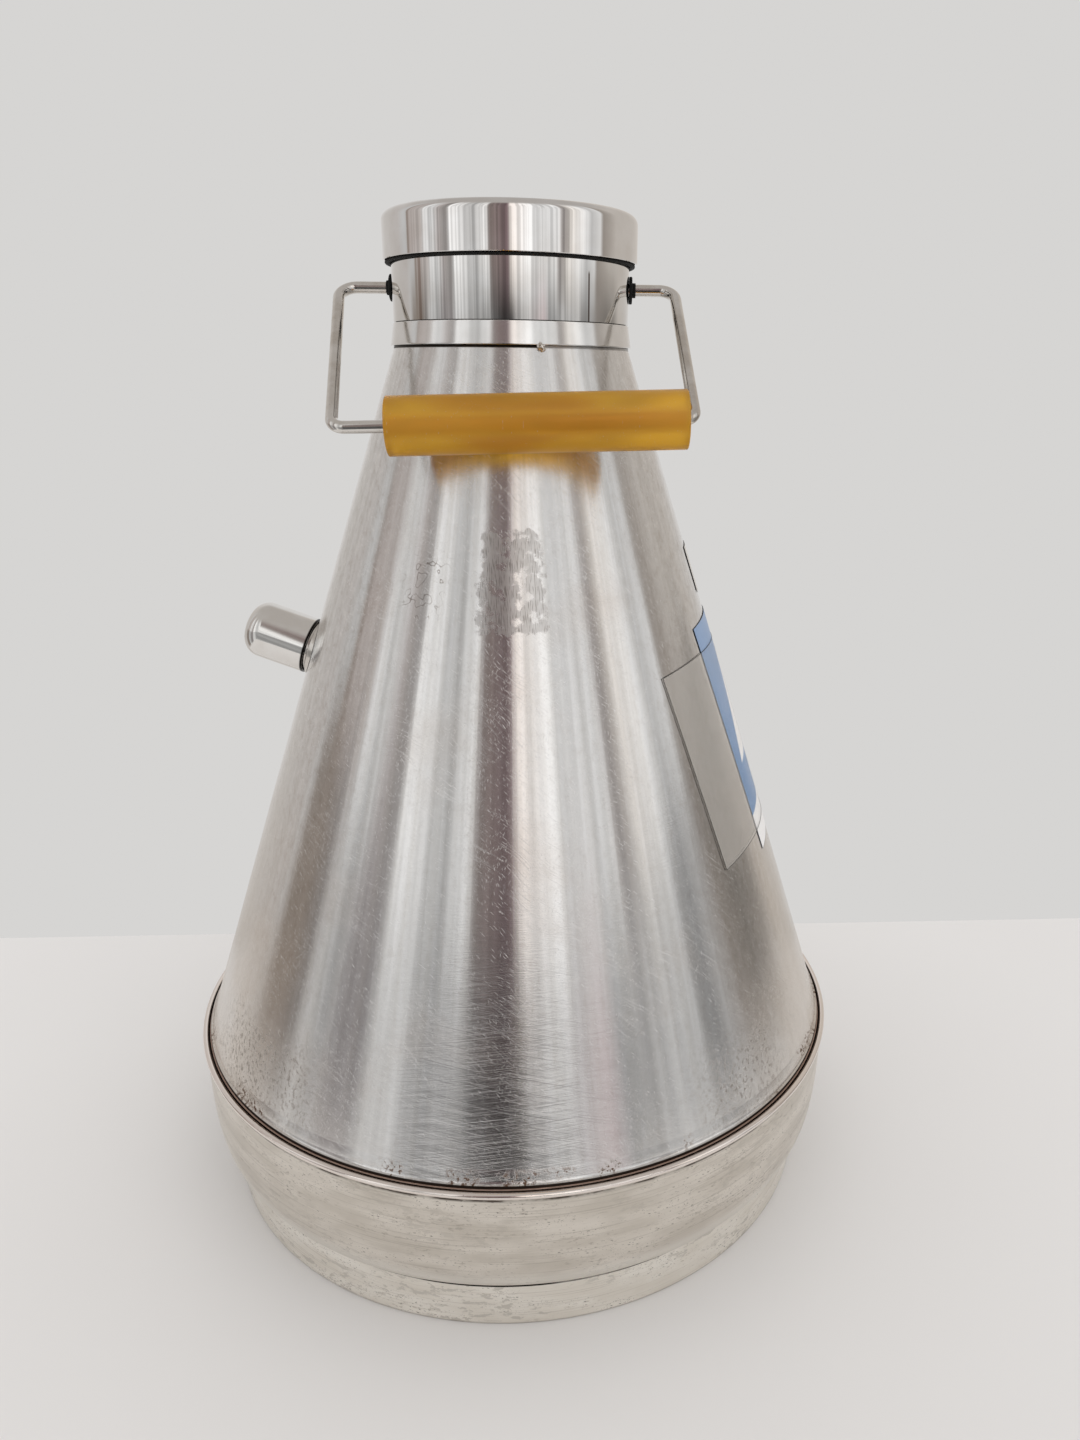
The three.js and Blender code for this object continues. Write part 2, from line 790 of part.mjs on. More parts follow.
// A flat label wrapped on the cone, with its lower and upper edges straight when unrolled
function wrappedLabel(label, centreSlant, lift) {
  const positions = [];
  const layers = [lift, lift + labelThickness];
  const rows = labelRows;
  for (const layer of layers) {
    for (let row = 0; row <= rows; row += 1) {
      for (let column = 0; column <= labelSteps; column += 1) {
        const across = label.width * (column / labelSteps - 1 / 2);
        const down = centreSlant + label.height * (row / rows - 1 / 2);
        const slant = Math.hypot(across, down);
        const azimuth = label.azimuth * degrees + Math.atan2(across, down) / Math.sin(coneAngle);
        const radius = slant * Math.sin(coneAngle) + layer * Math.cos(coneAngle);
        const height = apexHeight - slant * Math.cos(coneAngle) + layer * Math.sin(coneAngle);
        positions.push(radius * Math.cos(azimuth), radius * Math.sin(azimuth), height);
      }
    }
  }
  return closedSheet(positions, rows, labelSteps);
}

// Faces of a sheet whose inner and outer grids of points are given one after the other
function closedSheet(positions, rows, columns) {
  const width = columns + 1;
  const layerSize = (rows + 1) * width;
  const corner = (layer, row, column) => layer * layerSize + row * width + column;
  const faces = [];
  const quad = (a, b, c, d) => faces.push(a, b, c, a, c, d);
  for (let row = 0; row < rows; row += 1) {
    for (let column = 0; column < columns; column += 1) {
      const outer = [corner(1, row, column), corner(1, row + 1, column),
        corner(1, row + 1, column + 1), corner(1, row, column + 1)];
      const inner = outer.map((index) => index - layerSize);
      quad(...outer);
      quad(...inner.reverse());
    }
  }
  for (let column = 0; column < columns; column += 1) {
    quad(corner(0, 0, column), corner(1, 0, column), corner(1, 0, column + 1), corner(0, 0, column + 1));
    quad(corner(1, rows, column), corner(0, rows, column), corner(0, rows, column + 1),
      corner(1, rows, column + 1));
  }
  for (let row = 0; row < rows; row += 1) {
    quad(corner(1, row, 0), corner(0, row, 0), corner(0, row + 1, 0), corner(1, row + 1, 0));
    quad(corner(0, row, columns), corner(1, row, columns), corner(1, row + 1, columns),
      corner(0, row + 1, columns));
  }
  const geometry = new THREE.BufferGeometry();
  geometry.setAttribute('position', new THREE.Float32BufferAttribute(positions, 3));
  geometry.setIndex(faces);
  geometry.computeVertexNormals();
  return geometry;
}

function vesselShell() {
  const group = new THREE.Group();
  group.add(piece('foot_ring', footRing(), 'baseSteel'));
  group.add(piece('base_bowl', baseBowl(), 'baseSteel'));
  group.add(piece('outer_cone', outerCone(), 'coneSteel'));
  group.add(piece('collar_ring', collarRing(), 'polishedSteel'));
  group.add(piece('collar_tack_weld', collarTackWeld(), 'rodSteel'));
  group.add(piece('neck_sleeve', neckSleeve(), 'polishedSteel'));
  group.add(piece('neck_top_ring', neckTopRing(), 'polishedSteel'));
  return group;
}

function innerFlask() {
  const group = new THREE.Group();
  group.add(piece('neck_tube', neckTube(), 'innerSteel'));
  group.add(piece('inner_shoulder', innerShoulder(), 'innerSteel'));
  group.add(piece('inner_base', innerBase(), 'innerSteel'));
  group.add(piece('cone_insulation', coneInsulation(), 'foil'));
  group.add(piece('base_insulation', baseInsulation(), 'foil'));
  group.add(piece('neck_insulation', neckInsulation(), 'foil'));
  group.add(piece('sorbent_tray', sorbentTray(), 'tray'));
  group.add(piece('base_snubber', baseSnubber(), 'fibre'));
  return group;
}

function lidAssembly() {
  const group = new THREE.Group();
  group.add(piece('lid_cap', lidCap(), 'polishedSteel'));
  group.add(piece('lid_gasket', lidGasket(), 'blackRubber'));
  group.add(piece('plug_core', plugCore(), 'foam'));
  group.add(piece('plug_head_disc', plugHeadDisc(), 'innerSteel'));
  group.add(piece('plug_base_disc', plugBaseDisc(), 'innerSteel'));
  group.add(piece('plug_stud', plugStud(), 'rodSteel'));
  group.add(piece('plug_nut', plugNut(), 'rodSteel'));
  return group;
}

function bailPivots() {
  const group = new THREE.Group();
  for (const [name, side] of [['left', -1], ['right', 1]]) {
    group.add(piece(`${name}_pivot_socket`, pivotSocket(side), 'rodSteel'));
    group.add(piece(`${name}_pivot_washer`, pivotWasher(side), 'blackRubber'));
  }
  return group;
}

function bailAssembly() {
  const group = new THREE.Group();
  group.position.set(0, 0, pivotHeight);
  group.rotation.x = -bailRestAngle();
  group.add(piece('bail_handle', bailHandle(), 'rodSteel'));
  group.add(piece('grip_tube', gripTube(), 'amberRubber'));
  return group;
}

function evacuationPort() {
  const group = placeAtPort(new THREE.Group());
  group.add(piece('port_flange', portFlange(), 'rodSteel'));
  group.add(piece('port_tube', portTube(), 'rodSteel'));
  group.add(piece('port_plug', portPlug(), 'rodSteel'));
  group.add(piece('port_plug_oring', portPlugRing(), 'blackRubber'));
  group.add(piece('port_cap', portCap(), 'polishedSteel'));
  return group;
}

function sideLabels() {
  const group = new THREE.Group();
  const upperLift = seam + labelThickness + runningGap;
  group.add(piece('large_label', wrappedLabel(largeLabel, largeSlant, seam), 'blueLabel'));
  group.add(piece('clear_label', wrappedLabel(clearLabel, clearSlant, upperLift), 'clearLabel'));
  group.add(piece('upper_label', wrappedLabel(upperLabel, upperSlant, seam), 'clearLabel'));
  return group;
}

const dewar = new THREE.Group();
dewar.add(vesselShell());
dewar.add(innerFlask());
dewar.add(lidAssembly());
dewar.add(bailPivots());
dewar.add(bailAssembly());
dewar.add(evacuationPort());
dewar.add(sideLabels());

export default dewar;
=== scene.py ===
# A conical steel dewar for liquid nitrogen: spun base, rolled cone, polished neck and lid,
# a wire bail with a rubber grip, a capped evacuation port and labels bare of any print.
import math

import bmesh
import bpy
from mathutils import Euler, Matrix, Vector


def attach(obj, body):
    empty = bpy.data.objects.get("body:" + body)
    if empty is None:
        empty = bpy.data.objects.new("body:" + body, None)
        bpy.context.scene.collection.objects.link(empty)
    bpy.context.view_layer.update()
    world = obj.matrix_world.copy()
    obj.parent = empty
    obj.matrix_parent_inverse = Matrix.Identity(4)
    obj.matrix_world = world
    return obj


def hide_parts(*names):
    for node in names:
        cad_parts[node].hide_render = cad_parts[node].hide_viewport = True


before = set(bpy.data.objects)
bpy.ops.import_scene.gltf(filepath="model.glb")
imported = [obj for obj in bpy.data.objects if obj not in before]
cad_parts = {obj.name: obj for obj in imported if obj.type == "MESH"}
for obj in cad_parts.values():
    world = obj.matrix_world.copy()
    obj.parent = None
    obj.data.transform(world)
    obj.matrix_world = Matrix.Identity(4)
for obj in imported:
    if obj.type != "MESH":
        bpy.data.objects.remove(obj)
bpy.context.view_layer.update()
scene = bpy.context.scene
scene.view_settings.view_transform = "Standard"

# Camera: held at the height of the neck and tipped down, so that the cone's front mirrors
# what stands behind the lens. Its lens and place were fitted to the circles of the vessel.
lens_at = (0.05358, -0.65804, 0.50711)
pitch_down = math.radians(17.897)
roll = math.radians(0.705)
lens_data = bpy.data.cameras.new("camera")
lens_data.sensor_width = 36
lens_data.lens = 26.62
lens_data.shift_x = -0.0411
lens_data.clip_start = 0.01
camera = bpy.data.objects.new("camera", lens_data)
scene.collection.objects.link(camera)
camera.matrix_world = (
    Matrix.Translation(lens_at)
    @ Matrix.Rotation(math.pi / 2 - pitch_down, 4, "X")
    @ Matrix.Rotation(roll, 4, "Z")
)
scene.camera = camera


# Room: a pale wall behind, and in front of the vessel a room of windows and darker furniture,
# which only glossy rays meet. Soft light comes from all round, and a little from the front right.
def wire(tree, kind, feeds=None, **settings):
    """A new node, whose inputs get values or links."""
    made = tree.nodes.new(kind)
    for name, value in settings.items():
        setattr(made, name, value)
    for socket, value in (feeds or {}).items():
        if isinstance(value, bpy.types.NodeSocket):
            tree.links.new(value, made.inputs[socket])
        else:
            made.inputs[socket].default_value = value
    return made


def calc(tree, operation, *values):
    return wire(tree, "ShaderNodeMath", dict(enumerate(values)), operation=operation).outputs[0]


def between(tree, value, low, high, start=0.0, end=1.0):
    """Goes smoothly from start to end as the value goes from low to high, or from high to low."""
    feeds = {"Value": value, "From Min": low, "From Max": high, "To Min": start, "To Max": end}
    return wire(tree, "ShaderNodeMapRange", feeds, interpolation_type="SMOOTHSTEP").outputs[0]


def scaled(tree, value, factor, offset):
    return calc(tree, "MULTIPLY_ADD", value, factor, offset)


def apart(tree, value, other):
    """How far a value lies from another."""
    return calc(tree, "ABSOLUTE", calc(tree, "SUBTRACT", value, other))


def split_up(tree, vector):
    return wire(tree, "ShaderNodeSeparateXYZ", {0: vector}).outputs


def joined(tree, *parts):
    return wire(tree, "ShaderNodeCombineXYZ", dict(enumerate(parts))).outputs[0]


def azimuth_of(tree, parts):
    """Angle round the vertical axis from the front, in radians. It jumps at the back."""
    return calc(tree, "ARCTAN2", parts[0], calc(tree, "MULTIPLY", parts[1], -1.0))


def noise(tree, vector, scale=1.0, detail=2.0, roughness=0.5):
    feeds = {"Vector": vector, "Scale": scale, "Detail": detail, "Roughness": roughness}
    return wire(tree, "ShaderNodeTexNoise", feeds).outputs[0]


def blend(tree, share, low, high, mode="MIX"):
    feeds = {0: share, 6: low, 7: high}
    return wire(tree, "ShaderNodeMix", feeds, data_type="RGBA", blend_type=mode).outputs[2]


def ramp(tree, value, stops):
    """Tones by position. One number stands for a grey."""
    made = wire(tree, "ShaderNodeValToRGB", {0: value})
    elements = made.color_ramp.elements
    elements.remove(elements[1])
    for index, (position, *shade) in enumerate(stops):
        element = elements[0] if index == 0 else elements.new(position)
        element.color = (*(shade if len(shade) == 3 else shade * 3), 1)
    return made.outputs[0]


WALL = (0.672, 0.664, 0.652, 1)
room = bpy.data.worlds.new("room")
scene.world = room
room.use_nodes = True
sky = room.node_tree
sky.nodes.clear()
heading = split_up(sky, wire(sky, "ShaderNodeTexCoord").outputs["Generated"])
turn = scaled(sky, azimuth_of(sky, heading), 0.5 / math.pi, 0.5)
upper_room = ramp(sky, turn, [
    (0.0, 0.66), (0.226, 0.62), (0.23, 0.35, 0.3, 0.27), (0.235, 0.35, 0.3, 0.27), (0.239, 0.52, 0.47, 0.45),
    (0.28, 0.54, 0.5, 0.48), (0.29, 0.9), (0.315, 0.74), (0.333, 0.5, 0.46, 0.45), (0.343, 0.35, 0.33, 0.32),
    (0.357, 0.35, 0.33, 0.32), (0.363, 1.08), (0.382, 1.08), (0.393, 0.96), (0.412, 0.6), (0.432, 0.62),
    (0.44, 1.02), (0.455, 0.96), (0.462, 0.3, 0.25, 0.235), (0.507, 0.2, 0.14, 0.15), (0.512, 1.08, 1.0, 0.95),
    (0.56, 1.1), (0.6, 0.78), (0.63, 1.02), (0.638, 0.4, 0.37, 0.36), (0.655, 0.42, 0.39, 0.37),
    (0.662, 1.02, 0.97, 0.92), (0.705, 0.98), (0.722, 0.64), (0.75, 0.84), (0.76, 0.36, 0.325, 0.295),
    (0.81, 0.58, 0.54, 0.5),
])
lower_room = ramp(sky, turn, [
    (0.0, 0.66), (0.203, 0.6), (0.216, 0.3, 0.26, 0.23), (0.245, 0.28, 0.24, 0.21), (0.266, 0.27, 0.25, 0.24),
    (0.284, 0.6), (0.305, 0.46), (0.325, 0.32, 0.3, 0.3), (0.352, 0.32, 0.3, 0.3), (0.364, 0.7), (0.39, 0.7),
    (0.4, 0.46), (0.425, 0.38), (0.455, 0.38), (0.466, 0.14), (0.49, 0.035), (0.514, 0.05), (0.528, 0.42),
    (0.555, 0.6), (0.598, 0.62, 0.53, 0.54), (0.612, 0.4), (0.632, 0.36), (0.646, 0.52), (0.7, 0.6),
    (0.709, 0.28), (0.726, 0.27), (0.736, 0.44), (0.765, 0.29, 0.265, 0.245), (0.8, 0.21, 0.195, 0.18),
    (0.835, 0.29, 0.27, 0.25), (0.865, 0.58, 0.54, 0.5), (1.0, 0.66),
])
back_tint = ramp(sky, turn, [
    (0.0, 1.15), (0.06, 1.08, 1.05, 1.03), (0.11, 0.95, 0.91, 0.87), (0.19, 0.92, 0.87, 0.84), (0.215, 1.0),
    (0.9, 1.0), (1.0, 1.15),
])
window_height = between(sky, heading[2], 0.035, 0.105)
mirrored = blend(sky, 1.0, blend(sky, window_height, lower_room, upper_room), back_tint, "MULTIPLY")
streaks_per_turn = 110.0
glazing = noise(sky, joined(sky, calc(sky, "MULTIPLY", turn, streaks_per_turn), heading[2]), 1.0, 4.0)
glazing = between(sky, glazing, 0.4, 0.6, 0.78, 1.16)
front_turn = 0.48
in_front = between(sky, apart(sky, turn, front_turn), 0.27, 0.17)
mirrored = blend(sky, in_front, mirrored, blend(sky, 1.0, mirrored, glazing, "MULTIPLY"))
ceiling = between(sky, heading[2], 0.55, 0.85)
mirrored = blend(sky, ceiling, mirrored, (0.50, 0.475, 0.455, 1))
ray = wire(sky, "ShaderNodeLightPath")
seen = blend(sky, ray.outputs["Is Camera Ray"], (0.96, 0.965, 0.975, 1), WALL)
seen = blend(sky, ray.outputs["Is Glossy Ray"], seen, mirrored)
seen = blend(sky, ray.outputs["Is Transmission Ray"], seen, WALL)
wire(sky, "ShaderNodeOutputWorld", {0: wire(sky, "ShaderNodeBackground", {0: seen}).outputs[0]})

window_light = bpy.data.lights.new("window_light", "SUN")
window_light.energy = 0.35
window_light.angle = math.radians(50)
window_lamp = bpy.data.objects.new("window_light", window_light)
window_lamp.rotation_euler = Euler((math.radians(32), math.radians(24), 0))
window_lamp.visible_glossy = False
scene.collection.objects.link(window_lamp)


# Floor: a white laminated table top. Its far edge meets the wall behind the vessel and runs a
# few degrees off the square. Mirrored in steel, it ends a forearm away, and the room shows past it.
def object_place(tree):
    return wire(tree, "ShaderNodeTexCoord").outputs["Object"]


def most(tree, *values):
    result = values[0]
    for value in values[1:]:
        result = calc(tree, "MAXIMUM", result, value)
    return result


floor_mesh = bpy.data.meshes.new("floor")
floor_mesh.from_pydata(
    [(-2.4, -1.7, 0), (2.4, -1.7, 0), (2.4, 0.407, 0), (-2.4, 0.107, 0)], [], [(0, 1, 2, 3)])
floor = bpy.data.objects.new("floor", floor_mesh)
scene.collection.objects.link(floor)
table_top = bpy.data.materials.new("table_top")
table_top.use_nodes = True
laminate = table_top.node_tree
laminate_shader = laminate.nodes["Principled BSDF"]
place = object_place(laminate)
tones = blend(laminate, noise(laminate, place, 3.0), (0.73, 0.703, 0.68, 1), (0.76, 0.737, 0.715, 1))
laminate.links.new(tones, laminate_shader.inputs["Base Color"])
laminate_shader.inputs["Roughness"].default_value = 0.55
laminate_shader.inputs["Specular IOR Level"].default_value = 0.2
table_x, table_y, _ = split_up(laminate, place)
past_edge = most(laminate, between(laminate, table_y, -0.70, -0.75), between(laminate, table_x, -0.58, -0.70),
                 between(laminate, table_x, 0.62, 0.80))
mirrored_ray = wire(laminate, "ShaderNodeLightPath").outputs["Is Glossy Ray"]
feeds = {0: calc(laminate, "MULTIPLY", past_edge, mirrored_ray), 1: laminate_shader.outputs[0],
         2: wire(laminate, "ShaderNodeBsdfTransparent").outputs[0]}
laminate.links.new(wire(laminate, "ShaderNodeMixShader", feeds).outputs[0],
                   laminate.nodes["Material Output"].inputs["Surface"])
floor_mesh.materials.append(table_top)


# Foot: a short band of steel sheet with a narrow flange turned inwards at the bottom. The
# bowl of the base is spot welded on it, and the whole vessel stands on the flange.
def bend(centre_radius, centre_height, radius, start, end, steps=8):
    turns = [math.radians(start + (end - start) * step / steps) for step in range(steps + 1)]
    return [(centre_radius + radius * math.cos(a), centre_height + radius * math.sin(a)) for a in turns]


def open_tree(name, **inputs):
    """A new geometry tree with these named inputs and one for the finish."""
    tree = bpy.data.node_groups.new(name, "GeometryNodeTree")
    for title, kind in {**inputs, "Finish": "Material"}.items():
        tree.interface.new_socket(name=title, in_out="INPUT", socket_type="NodeSocket" + kind)
    tree.interface.new_socket(name="Piece", in_out="OUTPUT", socket_type="NodeSocketGeometry")
    return tree, wire(tree, "NodeGroupInput").outputs


def close_tree(tree, shape, finish):
    solid = wire(tree, "GeometryNodeRealizeInstances", {0: shape.outputs[0]})
    feeds = {"Geometry": solid.outputs[0], "Material": finish}
    wire(tree, "NodeGroupOutput", {0: wire(tree, "GeometryNodeSetMaterial", feeds).outputs[0]})
    return tree


def merged(tree, shape):
    return wire(tree, "GeometryNodeMergeByDistance", {"Geometry": shape.outputs[0], "Distance": 2e-6})


SPINDLE = 0.0005  # radius of the circle that a section is swept round


def turning_tree():
    tree, inputs = open_tree("turned_piece", Section="Geometry", Sides="Int")
    section = wire(tree, "GeometryNodeMeshToCurve", {0: inputs["Section"]})
    feeds = {"Resolution": inputs["Sides"], "Radius": SPINDLE}
    circle = wire(tree, "GeometryNodeCurvePrimitiveCircle", feeds)
    level = wire(tree, "GeometryNodeSetCurveNormal", {"Curve": circle.outputs[0]}, mode="Z_UP")
    feeds = {"Curve": level.outputs[0], "Profile Curve": section.outputs[0]}
    return close_tree(tree, merged(tree, wire(tree, "GeometryNodeCurveToMesh", feeds)), inputs["Finish"])


turning = turning_tree()


def settle(piece, tree, values, sharp=35):
    """Runs a node tree on a drawn section or path and keeps its result as a plain mesh."""
    modifier = piece.modifiers.new(tree.name, "NODES")
    modifier.node_group = tree
    for item in tree.interface.items_tree:
        if item.in_out == "INPUT" and item.name in values:
            modifier[item.identifier] = values[item.name]
    evaluated = piece.evaluated_get(bpy.context.evaluated_depsgraph_get())
    result = bpy.data.meshes.new_from_object(evaluated)
    piece.modifiers.remove(modifier)
    piece.data = result
    work = bmesh.new()
    work.from_mesh(result)
    bmesh.ops.dissolve_degenerate(work, dist=1e-7, edges=work.edges)
    if work.calc_volume(signed=True) < 0:
        bmesh.ops.reverse_faces(work, faces=work.faces)
    work.to_mesh(result)
    work.free()
    result.shade_smooth()
    result.set_sharp_from_angle(angle=math.radians(sharp))
    return piece


def drawn(name, points, closed):
    """A section, a path or a single point, as an object for a tree to work on."""
    mesh = bpy.data.meshes.new(name)
    count = len(points)
    edges = [(index, (index + 1) % count) for index in range(count if closed else count - 1)]
    mesh.from_pydata(points, edges, [])
    piece = bpy.data.objects.new(name, mesh)
    scene.collection.objects.link(piece)
    return piece


def turned(name, section, finish, body, sides=192, placing=None, closed=True):
    """A piece turned about Z from (radius, height) points in millimetres.

    Long flats get a point close to each end, so that the shading stays flat between them."""
    points = []
    count = len(section)
    for index in range(count if closed else count - 1):
        start, end = Vector(section[index]), Vector(section[(index + 1) % count])
        points.append(start)
        length = (end - start).length
        if length > 5:
            points += [start.lerp(end, 0.6 / length), start.lerp(end, 1 - 0.6 / length)]
    if not closed:
        points.append(Vector(section[-1]))
    piece = drawn(name, [(p.x / 1000 - SPINDLE, -p.y / 1000, 0) for p in points], closed)
    settle(piece, turning, {"Sides": sides, "Finish": finish})
    if placing is not None:
        piece.data.transform(placing)
    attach(piece, body)
    return piece


def new_finish(name, metallic):
    finish = bpy.data.materials.new(name)
    finish.use_nodes = True
    shader = finish.node_tree.nodes["Principled BSDF"]
    shader.inputs["Metallic"].default_value = metallic
    return finish, finish.node_tree, shader


def stretched(tree, vector, size, angle=0.0, start=(0, 0, 0)):
    """Coordinates in lengths of the given size, turned by an angle in degrees first."""
    feeds = {0: vector, 1: start, 2: (0, 0, math.radians(angle)), 3: size}
    return wire(tree, "ShaderNodeMapping", feeds, vector_type="TEXTURE").outputs[0]


def blots(tree, vector, size, detail=2.0, roughness=0.5, angle=0.0, start=(0, 0, 0)):
    """Noise whose blots have the given lengths."""
    return noise(tree, stretched(tree, vector, size, angle, start), 1.0, detail, roughness)


def from_axis(tree):
    split = split_up(tree, object_place(tree))
    return azimuth_of(tree, split), split


def unrolled(tree, radius):
    """Way round the vertical axis at this radius, and height, in metres."""
    turned_by, split = from_axis(tree)
    return joined(tree, calc(tree, "MULTIPLY", turned_by, radius), split[2]), turned_by, split


def coat(tree, shader, colour, dull):
    tree.links.new(colour, shader.inputs["Base Color"])
    tree.links.new(dull, shader.inputs["Roughness"])


def relief(tree, shader, height, strength, depth):
    feeds = {"Strength": strength, "Distance": depth, "Height": height}
    tree.links.new(wire(tree, "ShaderNodeBump", feeds).outputs[0], shader.inputs["Normal"])


def masked(tree, *shares):
    """The product of several masks."""
    product = shares[0]
    for share in shares[1:]:
        product = calc(tree, "MULTIPLY", product, share)
    return product


def needles(tree, vector, length, width, angle=0.0, start=(0, 0, 0), share=0.16):
    """Short straight marks strewn at random, one in each cell of the given length and width."""
    cells = {"Vector": stretched(tree, vector, (length, width, 1), angle, start)}
    return between(tree, wire(tree, "ShaderNodeTexVoronoi", cells).outputs["Distance"], share, share * 0.4)


def spun_steel(name, low, high, dirt, roughness, etched):
    """Dull warm steel with fine marks that run round it, pits, dark specks and etched patches."""
    finish, tree, shader = new_finish(name, 1.0)
    round_way, turned_by, split = unrolled(tree, 0.2)
    rings = blots(tree, round_way, (0.09, 0.0009, 1))
    clouds = blots(tree, round_way, (0.045, 0.014, 1), 4.0)
    colour = blend(tree, between(tree, clouds, 0.34, 0.66), low, high)
    colour = blend(tree, between(tree, rings, 0.54, 0.7, 0.0, 0.3), colour, dirt)
    zones = between(tree, blots(tree, round_way, (0.05, 0.012, 1)), 0.46, 0.62)
    grains = blots(tree, round_way, (0.0045, 0.0016, 1), 3.0, 0.65)
    pits = masked(tree, between(tree, grains, 0.56, 0.63), zones)
    gouges = most(tree, needles(tree, round_way, 0.015, 0.0060, 8, (0.2, 0.1, 0), 0.19),
                  needles(tree, round_way, 0.009, 0.0050, -5, (0.5, 0.7, 0), 0.17),
                  needles(tree, round_way, 0.028, 0.0085, -12, (0.8, 0.3, 0), 0.19))
    gouges = masked(tree, gouges, between(tree, clouds, 0.46, 0.56, 0.1, 1.0), between(tree, grains, 0.35, 0.5))
    colour = blend(tree, masked(tree, pits, 0.4), colour, dirt)
    colour = blend(tree, masked(tree, gouges, 0.85), colour, (0.09, 0.07, 0.055, 1))
    plate = blots(tree, round_way, (0.010, 0.004, 1), 6.0, 0.68, start=(0.31, 0.2, 0))
    plate_zone = blots(tree, round_way, (0.07, 0.03, 1), 1.0, start=(0.055, 0, 0))
    patches = masked(tree, between(tree, plate, 0.535, 0.56), between(tree, plate_zone, 0.46, 0.58), etched)
    colour = blend(tree, patches, colour, [0.77 * level for level in low[:3]] + [1])
    dull = scaled(tree, clouds, 0.16, roughness - 0.08)
    dull = scaled(tree, pits, 0.12, dull)
    height = calc(tree, "SUBTRACT", rings, masked(tree, pits, 0.6))
    height = calc(tree, "SUBTRACT", height, masked(tree, gouges, 1.2))
    relief(tree, shader, height, 0.2, 0.0002)
    return finish, tree, shader, colour, dull, turned_by, split


foot_steel, tree, shader, colour, dull, turned_by, split = spun_steel(
    "foot_band_steel", (0.84, 0.80, 0.73, 1), (0.93, 0.90, 0.84, 1), (0.42, 0.37, 0.31, 1), 0.34, 0.9)
# Painted shade: a thin dark line on the foot just under the bowl's overhanging edge, strongest at the front and
# broken up by noise.
seam_gap = blots(tree, joined(tree, turned_by, split[2]), (0.25, 0.02, 1), 3.0)
seam_gap = between(tree, seam_gap, 0.36, 0.5, 0.6, 1.0)
seam_front = between(tree, calc(tree, "ABSOLUTE", turned_by), 1.1, 0.25, 0.45, 1.0)
painted_seam_shade = masked(tree, between(tree, split[2], 0.0266, 0.0270), seam_gap, seam_front)
colour = blend(tree, painted_seam_shade, colour, (0.025, 0.02, 0.016, 1))
dull = scaled(tree, painted_seam_shade, 0.4, dull)
# The foot is darker towards its bottom edge, where it stands on the floor.
foot_darker_low = between(tree, split[2], 0.0022, 0.0008, 0.0, 0.5)
colour = blend(tree, foot_darker_low, colour, (0.34, 0.30, 0.26, 1))
coat(tree, shader, colour, dull)
foot_ring = turned("foot_ring", [
    (187, 0), *bend(192.4, 1.6, 1.6, -90, 0), *bend(193.0, 31.0, 1.0, 0, 90, 6), (192.5, 32),
    (192.5, 2.5), *bend(191.5, 2.5, 1, 0, -90, 4), (187, 1.5),
], foot_steel, "vessel", 256)
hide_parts("foot_ring")

# Base bowl: a pan spun from steel sheet, its side drawn in at the foot, with a rolled lip on
# which the cone stands. The lip is bright where it is rubbed, with dirt in the groove inside it.
floor_points = [(0, 18.3), (93.5, 21.8), (187, 32.3)]
bowl_wall = 1.2


def bowl_side(inset, foot_radius=194, bulge=14.5, top=99.5, depth=67.0, steps=28):
    """A cubed ellipse from the bowl's foot up to its lip."""
    downs = [math.sin(math.pi / 2 * (1 - step / steps)) for step in range(steps + 1)]
    return [(foot_radius + bulge * (1 - down ** 3) ** (1 / 3) - inset, top - (depth - inset) * down)
            for down in downs]


def length_of(tree, *sides):
    squares = [calc(tree, "MULTIPLY", side, side) for side in sides]
    return calc(tree, "SQRT", calc(tree, "ADD", *squares))


bowl_steel, tree, shader, colour, dull, turned_by, split = spun_steel(
    "spun_bowl_steel", (0.63, 0.585, 0.52, 1), (0.77, 0.725, 0.66, 1), (0.30, 0.26, 0.22, 1), 0.34, 0.35)
height = split[2]
reach = length_of(tree, *split[:2])
# Painted highlight: a lighter band round the bowl just above its drawn-in bottom edge.
painted_highlight_low_band = masked(tree, between(tree, height, 0.050, 0.040), between(tree, height, 0.0348, 0.0360, 0.3, 1.0))
colour = blend(tree, masked(tree, painted_highlight_low_band, 0.6), colour, (0.86, 0.83, 0.775, 1))
# Painted shade: a dark line along the bowl's bottom edge, where it turns under towards the foot.
painted_seam_shade = between(tree, height, 0.0338, 0.0331)
colour = blend(tree, masked(tree, painted_seam_shade, 0.7), colour, (0.10, 0.08, 0.065, 1))
# Painted shadow: a dark line round the bowl just under its rolled lip, broken up by noise.
painted_shadow_under_lip = masked(tree, between(tree, height, 0.0968, 0.0984), between(tree, height, 0.1000, 0.0990))
shadow_line_breaks = blots(tree, joined(tree, turned_by, height), (0.05, 0.004, 1), 3.0)
shadow_line_breaks = between(tree, shadow_line_breaks, 0.3, 0.62, 0.25, 1.0)
colour = blend(tree, masked(tree, painted_shadow_under_lip, shadow_line_breaks), colour, (0.07, 0.055, 0.045, 1))
bright = between(tree, height, 0.0988, 0.0998)
colour = blend(tree, bright, colour, (0.86, 0.79, 0.74, 1))
dull = scaled(tree, bright, -0.24, dull)
groove = masked(tree, between(tree, reach, 0.2074, 0.2068), between(tree, height, 0.0990, 0.1000))
colour = blend(tree, groove, colour, (0.035, 0.024, 0.018, 1))
dull = scaled(tree, groove, 0.5, dull)
coat(tree, shader, colour, dull)
